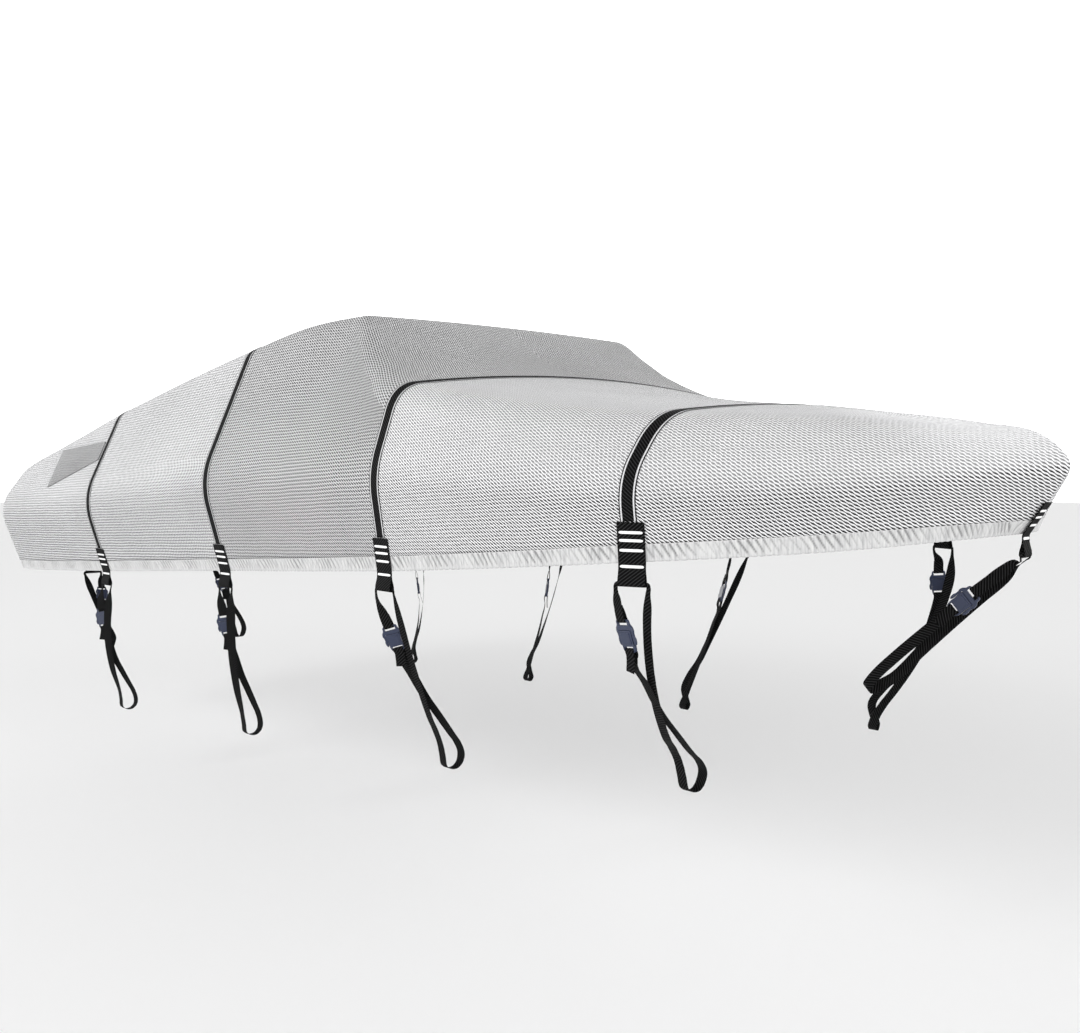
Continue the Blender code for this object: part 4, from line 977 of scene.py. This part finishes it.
def tie_route(site):
    """Rows of the strap's middle line, the direction across it and its width, and the
    place of its buckle."""
    fore_bulge, aft_bulge, buckle_down = site.tie[3:6]
    pocket_half = site.tab_width / 2 + CORNER_CLEAR + TIE_AT_CORNER / 2 - CORNER_RADIUS
    lower_edge = POCKET_CLEAR - TAB_LOOP_RADIUS
    corner_rise = lower_edge + TIE_AT_CORNER / 2 - CORNER_RADIUS
    pocket_rise = lower_edge + TIE_IN_POCKET / 2

    def in_tab(a, d):
        return site.fold + site.along * a + site.up * d

    foot_along, foot_out, foot_up = site.foot_axes

    def at_foot(slant, inwards, rise):
        return (site.foot + foot_along * slant * site.foot_slant - foot_out * inwards
                + foot_up * rise)

    def leg(start, end, bulge, at):
        return start + (end - start) * at + site.out * bulge * 4 * at * (1 - at)

    leg_side = pocket_half + CORNER_RADIUS
    aft_top, fore_top = in_tab(-leg_side, corner_rise), in_tab(leg_side, corner_rise)
    fore_foot = at_foot(-1, 0, FOOT_INNER_HEIGHT)
    aft_foot = at_foot(1, FOOT_INNER_WIDTH, FOOT_INNER_HEIGHT)
    leg_length = np.linalg.norm(aft_foot - aft_top)
    length = PLUG_LENGTH + PART_GAP + SOCKET_LENGTH
    buckle = Buckle(leg(aft_top, aft_foot, aft_bulge, buckle_down / leg_length),
                    leg(aft_top, aft_foot, aft_bulge, (buckle_down + length) / leg_length),
                    site)
    rows = []

    def add(points, across, width):
        rows.extend((*p, *across, width) for p in points)

    radius = PLUG_THICKNESS / 2 + 2 * LAY_GAP + TIE_THICKNESS / 2
    add([buckle.at(-STITCHED_END, -0.0019), buckle.at(-0.012, -radius),
         *arc(buckle.at(BAR_THICKNESS * 0.8, 0), buckle.down, buckle.front, radius,
              -90, 90, 6),
         buckle.at(-0.012, radius), buckle.at(-STITCHED_END, 0.0009)],
        -buckle.across, TIE_WIDTH)
    if site.on_edge:
        for at, width in ((0.055, 0.036), (0.028, 0.026)):
            add([leg(aft_top, aft_foot, aft_bulge, at / leg_length)], -site.lay, width)
    add([aft_top - site.up * 0.012], -site.along, TIE_AT_CORNER)
    for sign, start, stop in ((-1, 0, 90), (1, 90, 0)):
        centre = in_tab(sign * pocket_half, corner_rise)
        turning = arc(centre, site.along * sign, site.up, CORNER_RADIUS, start, stop, 3)
        if sign > 0:
            for a in (-0.015, 0.015):
                add([in_tab(a, pocket_rise)], site.up, TIE_IN_POCKET)
        for p in turning:
            add([p], unit(p - centre), TIE_AT_CORNER)
    loop = [*(leg(fore_top, fore_foot, fore_bulge, t) for t in (0.03, 0.16, 0.5, 0.8)),
            fore_foot, at_foot(-0.6, 0, 0.040), at_foot(-0.3, 0, FOOT_ROUND),
            at_foot(-0.2, FOOT_ROUND, 0), at_foot(0.2, FOOT_INNER_WIDTH - FOOT_ROUND, 0),
            at_foot(0.3, FOOT_INNER_WIDTH, FOOT_ROUND),
            at_foot(0.8, FOOT_INNER_WIDTH, FOOT_INNER_HEIGHT * 0.7)]
    start = (buckle_down + length + 0.04) / leg_length
    loop += [leg(aft_top, aft_foot, aft_bulge, t) for t in (0.9, (0.9 + start) / 2, start)]
    path = smooth_path(loop, 2)
    last = len(path) - 1
    for k, p in enumerate(path):
        turned = min(k / 2, 1)
        squared = np.interp(k, (4, 8, last - 8, last), (0, 1, 1, 0))
        lay = site.fore_lay if k < 8 else site.lay
        leg_across = site.along * (1 - turned) + lay * turned
        add([p], leg_across * (1 - squared) + foot_along * squared,
            np.interp(k, (0, 1, 2), (0.016, 0.030, TIE_WIDTH)))
    radius = SOCKET_THICKNESS / 2 + 2 * LAY_GAP + TIE_THICKNESS / 2
    add([buckle.at(length + 0.012, -radius),
         *arc(buckle.at(length - BAR_THICKNESS * 0.8, 0), -buckle.down, buckle.front,
              radius, -90, 90, 6),
         buckle.at(length + 0.008, radius),
         buckle.at(length + TAIL * 0.4, radius * 1.2, -0.003),
         buckle.at(length + TAIL, radius * 2.0, -0.012)],
        buckle.across, TIE_WIDTH)
    return np.array(rows), buckle


buckles = {}
for site in sites:
    rows, buckles[site.name] = tie_route(site)
    fine = smooth_path(rows, 5)
    strap = ribbon(f"tie_{site.name}_webbing", fine[:, :3], fine[:, 3:6], fine[:, 6],
                   TIE_THICKNESS, plain_webbing)
    ride_for(strap, f"tie_{site.name}")


# ============ buckles
# Side-release buckles in dark blue plastic, each moulded in two: a plug, which is a
# slotted frame with two sprung prongs, and the socket that the prongs hug.

BUCKLE_BODY_WIDTH = 0.056
SLOT_LENGTH, SLOT_WIDTH = 0.014, 0.042
PRONG_WIDTH, PRONG_LENGTH = 0.009, 0.048
BODY_EDGE, PAD_EDGE = 0.0014, 0.0009
PAD_THICKNESS, PAD_LIFT = 0.0028, 0.0004


def moulded_plastic():
    """Dark slate blue, with the faint ripple of a moulding."""
    made, tree, shader = new_finish("slate_plastic", (0.026, 0.034, 0.068), 0.34,
                                    Specular_IOR_Level=0.4)
    place = add_node(tree, "ShaderNodeTexCoord").outputs["Object"]
    bumped(tree, shader, noise(tree, place, 90.0), 0.0006, 0.35)
    return made


def moulding(name, half_outline, thickness, place, slot=None, shift=0.0, edge=BODY_EDGE):
    """Plate alike left and right, with rounded edges. The half outline goes from the
    middle of its top edge down the right side to the middle of its bottom edge, as
    (across, down), and slot is the (top, bottom) of a hole. place turns (down, front,
    across) into a point; shift moves the plate forwards."""
    loop = list(half_outline)
    if slot:
        half = SLOT_WIDTH / 2
        loop += [(0, slot[1]), (half, slot[1]), (half, slot[0]), (0, slot[0])]
    shape = bmesh.new()
    points = {}

    def corner(across, down, front):
        key = (round(across, 6), round(down, 6), front)
        if key not in points:
            points[key] = shape.verts.new(place(down, shift + front * thickness / 2, across))
        return points[key]

    for side in (1, -1):
        ring = [(side * a, d) for a, d in loop]
        for front in (1, -1):
            shape.faces.new([corner(a, d, front) for a, d in ring])
        for (a, d), (b, e) in zip(ring, ring[1:] + ring[:1]):
            if a or b:
                shape.faces.new([corner(a, d, 1), corner(a, d, -1),
                                 corner(b, e, -1), corner(b, e, 1)])
    bmesh.ops.recalc_face_normals(shape, faces=shape.faces)
    mesh = bpy.data.meshes.new(name)
    shape.to_mesh(mesh)
    shape.free()
    mesh.materials.append(buckle_plastic)
    made = add_object(name, mesh)
    rounding = made.modifiers.new("Edges", "BEVEL")
    rounding.width = edge
    rounding.segments = 3
    rounding.limit_method = "ANGLE"
    rounding.angle_limit = math.radians(25)
    mesh.shade_smooth()
    mesh.set_sharp_from_angle(angle=math.radians(50))
    return made


def plug(site, buckle):
    """Slotted frame, base and two wavy prongs, each with a thumb grip half way."""
    half = BUCKLE_BODY_WIDTH / 2
    inside = half + PART_GAP
    outside = inside + PRONG_WIDTH
    base = PLUG_LENGTH
    end = base + PRONG_LENGTH
    outline = [(0, 0), (half - 0.005, 0), (half - 0.001, 0.003), (half, 0.008),
               (half + 0.001, 0.016), (half + 0.005, 0.021), (outside - 0.001, 0.026),
               (outside + 0.001, base + 0.002), (outside - 0.0015, base + 0.010),
               (outside - 0.002, base + 0.020), (outside + 0.001, base + 0.030),
               (outside, end - 0.008), (outside - 0.003, end - 0.001),
               (outside - 0.006, end), (inside, end - 0.005), (inside, base), (0, base)]
    body = moulding(f"plug_{site.name}_body", outline, PLUG_THICKNESS, buckle.at,
                    slot=(BAR_THICKNESS, BAR_THICKNESS + SLOT_LENGTH))
    ride_for(body, f"plug_{site.name}")


def socket(site, buckle):
    """Socket body with a slotted foot, and the raised pad on its front."""
    def below_plug(down, front, across):
        return buckle.at(down + PLUG_LENGTH + PART_GAP, front, across)

    half = BUCKLE_BODY_WIDTH / 2
    length = SOCKET_LENGTH
    outline = [(0, 0), (half - 0.003, 0), (half, 0.003), (half - 0.001, length * 0.3),
               (half - 0.002, length * 0.5), (half - 0.001, length * 0.68),
               (half - 0.003, length - 0.008), (half - 0.007, length), (0, length)]
    body = moulding(f"socket_{site.name}_body", outline, SOCKET_THICKNESS, below_plug,
                    slot=(length - BAR_THICKNESS - SLOT_LENGTH, length - BAR_THICKNESS))
    pad_outline = [(0, 0.006), (half - 0.010, 0.006), (half - 0.007, 0.010),
                   (half - 0.008, length * 0.4), (half - 0.007, length * 0.56),
                   (half - 0.010, length * 0.62), (0, length * 0.62)]
    pad = moulding(f"socket_{site.name}_pad", pad_outline, PAD_THICKNESS, below_plug,
                   shift=SOCKET_THICKNESS / 2 + PAD_LIFT, edge=PAD_EDGE)
    ride_for(body, f"socket_{site.name}")
    ride_for(pad, None)


buckle_plastic = moulded_plastic()
for site in sites:
    plug(site, buckles[site.name])
    socket(site, buckles[site.name])
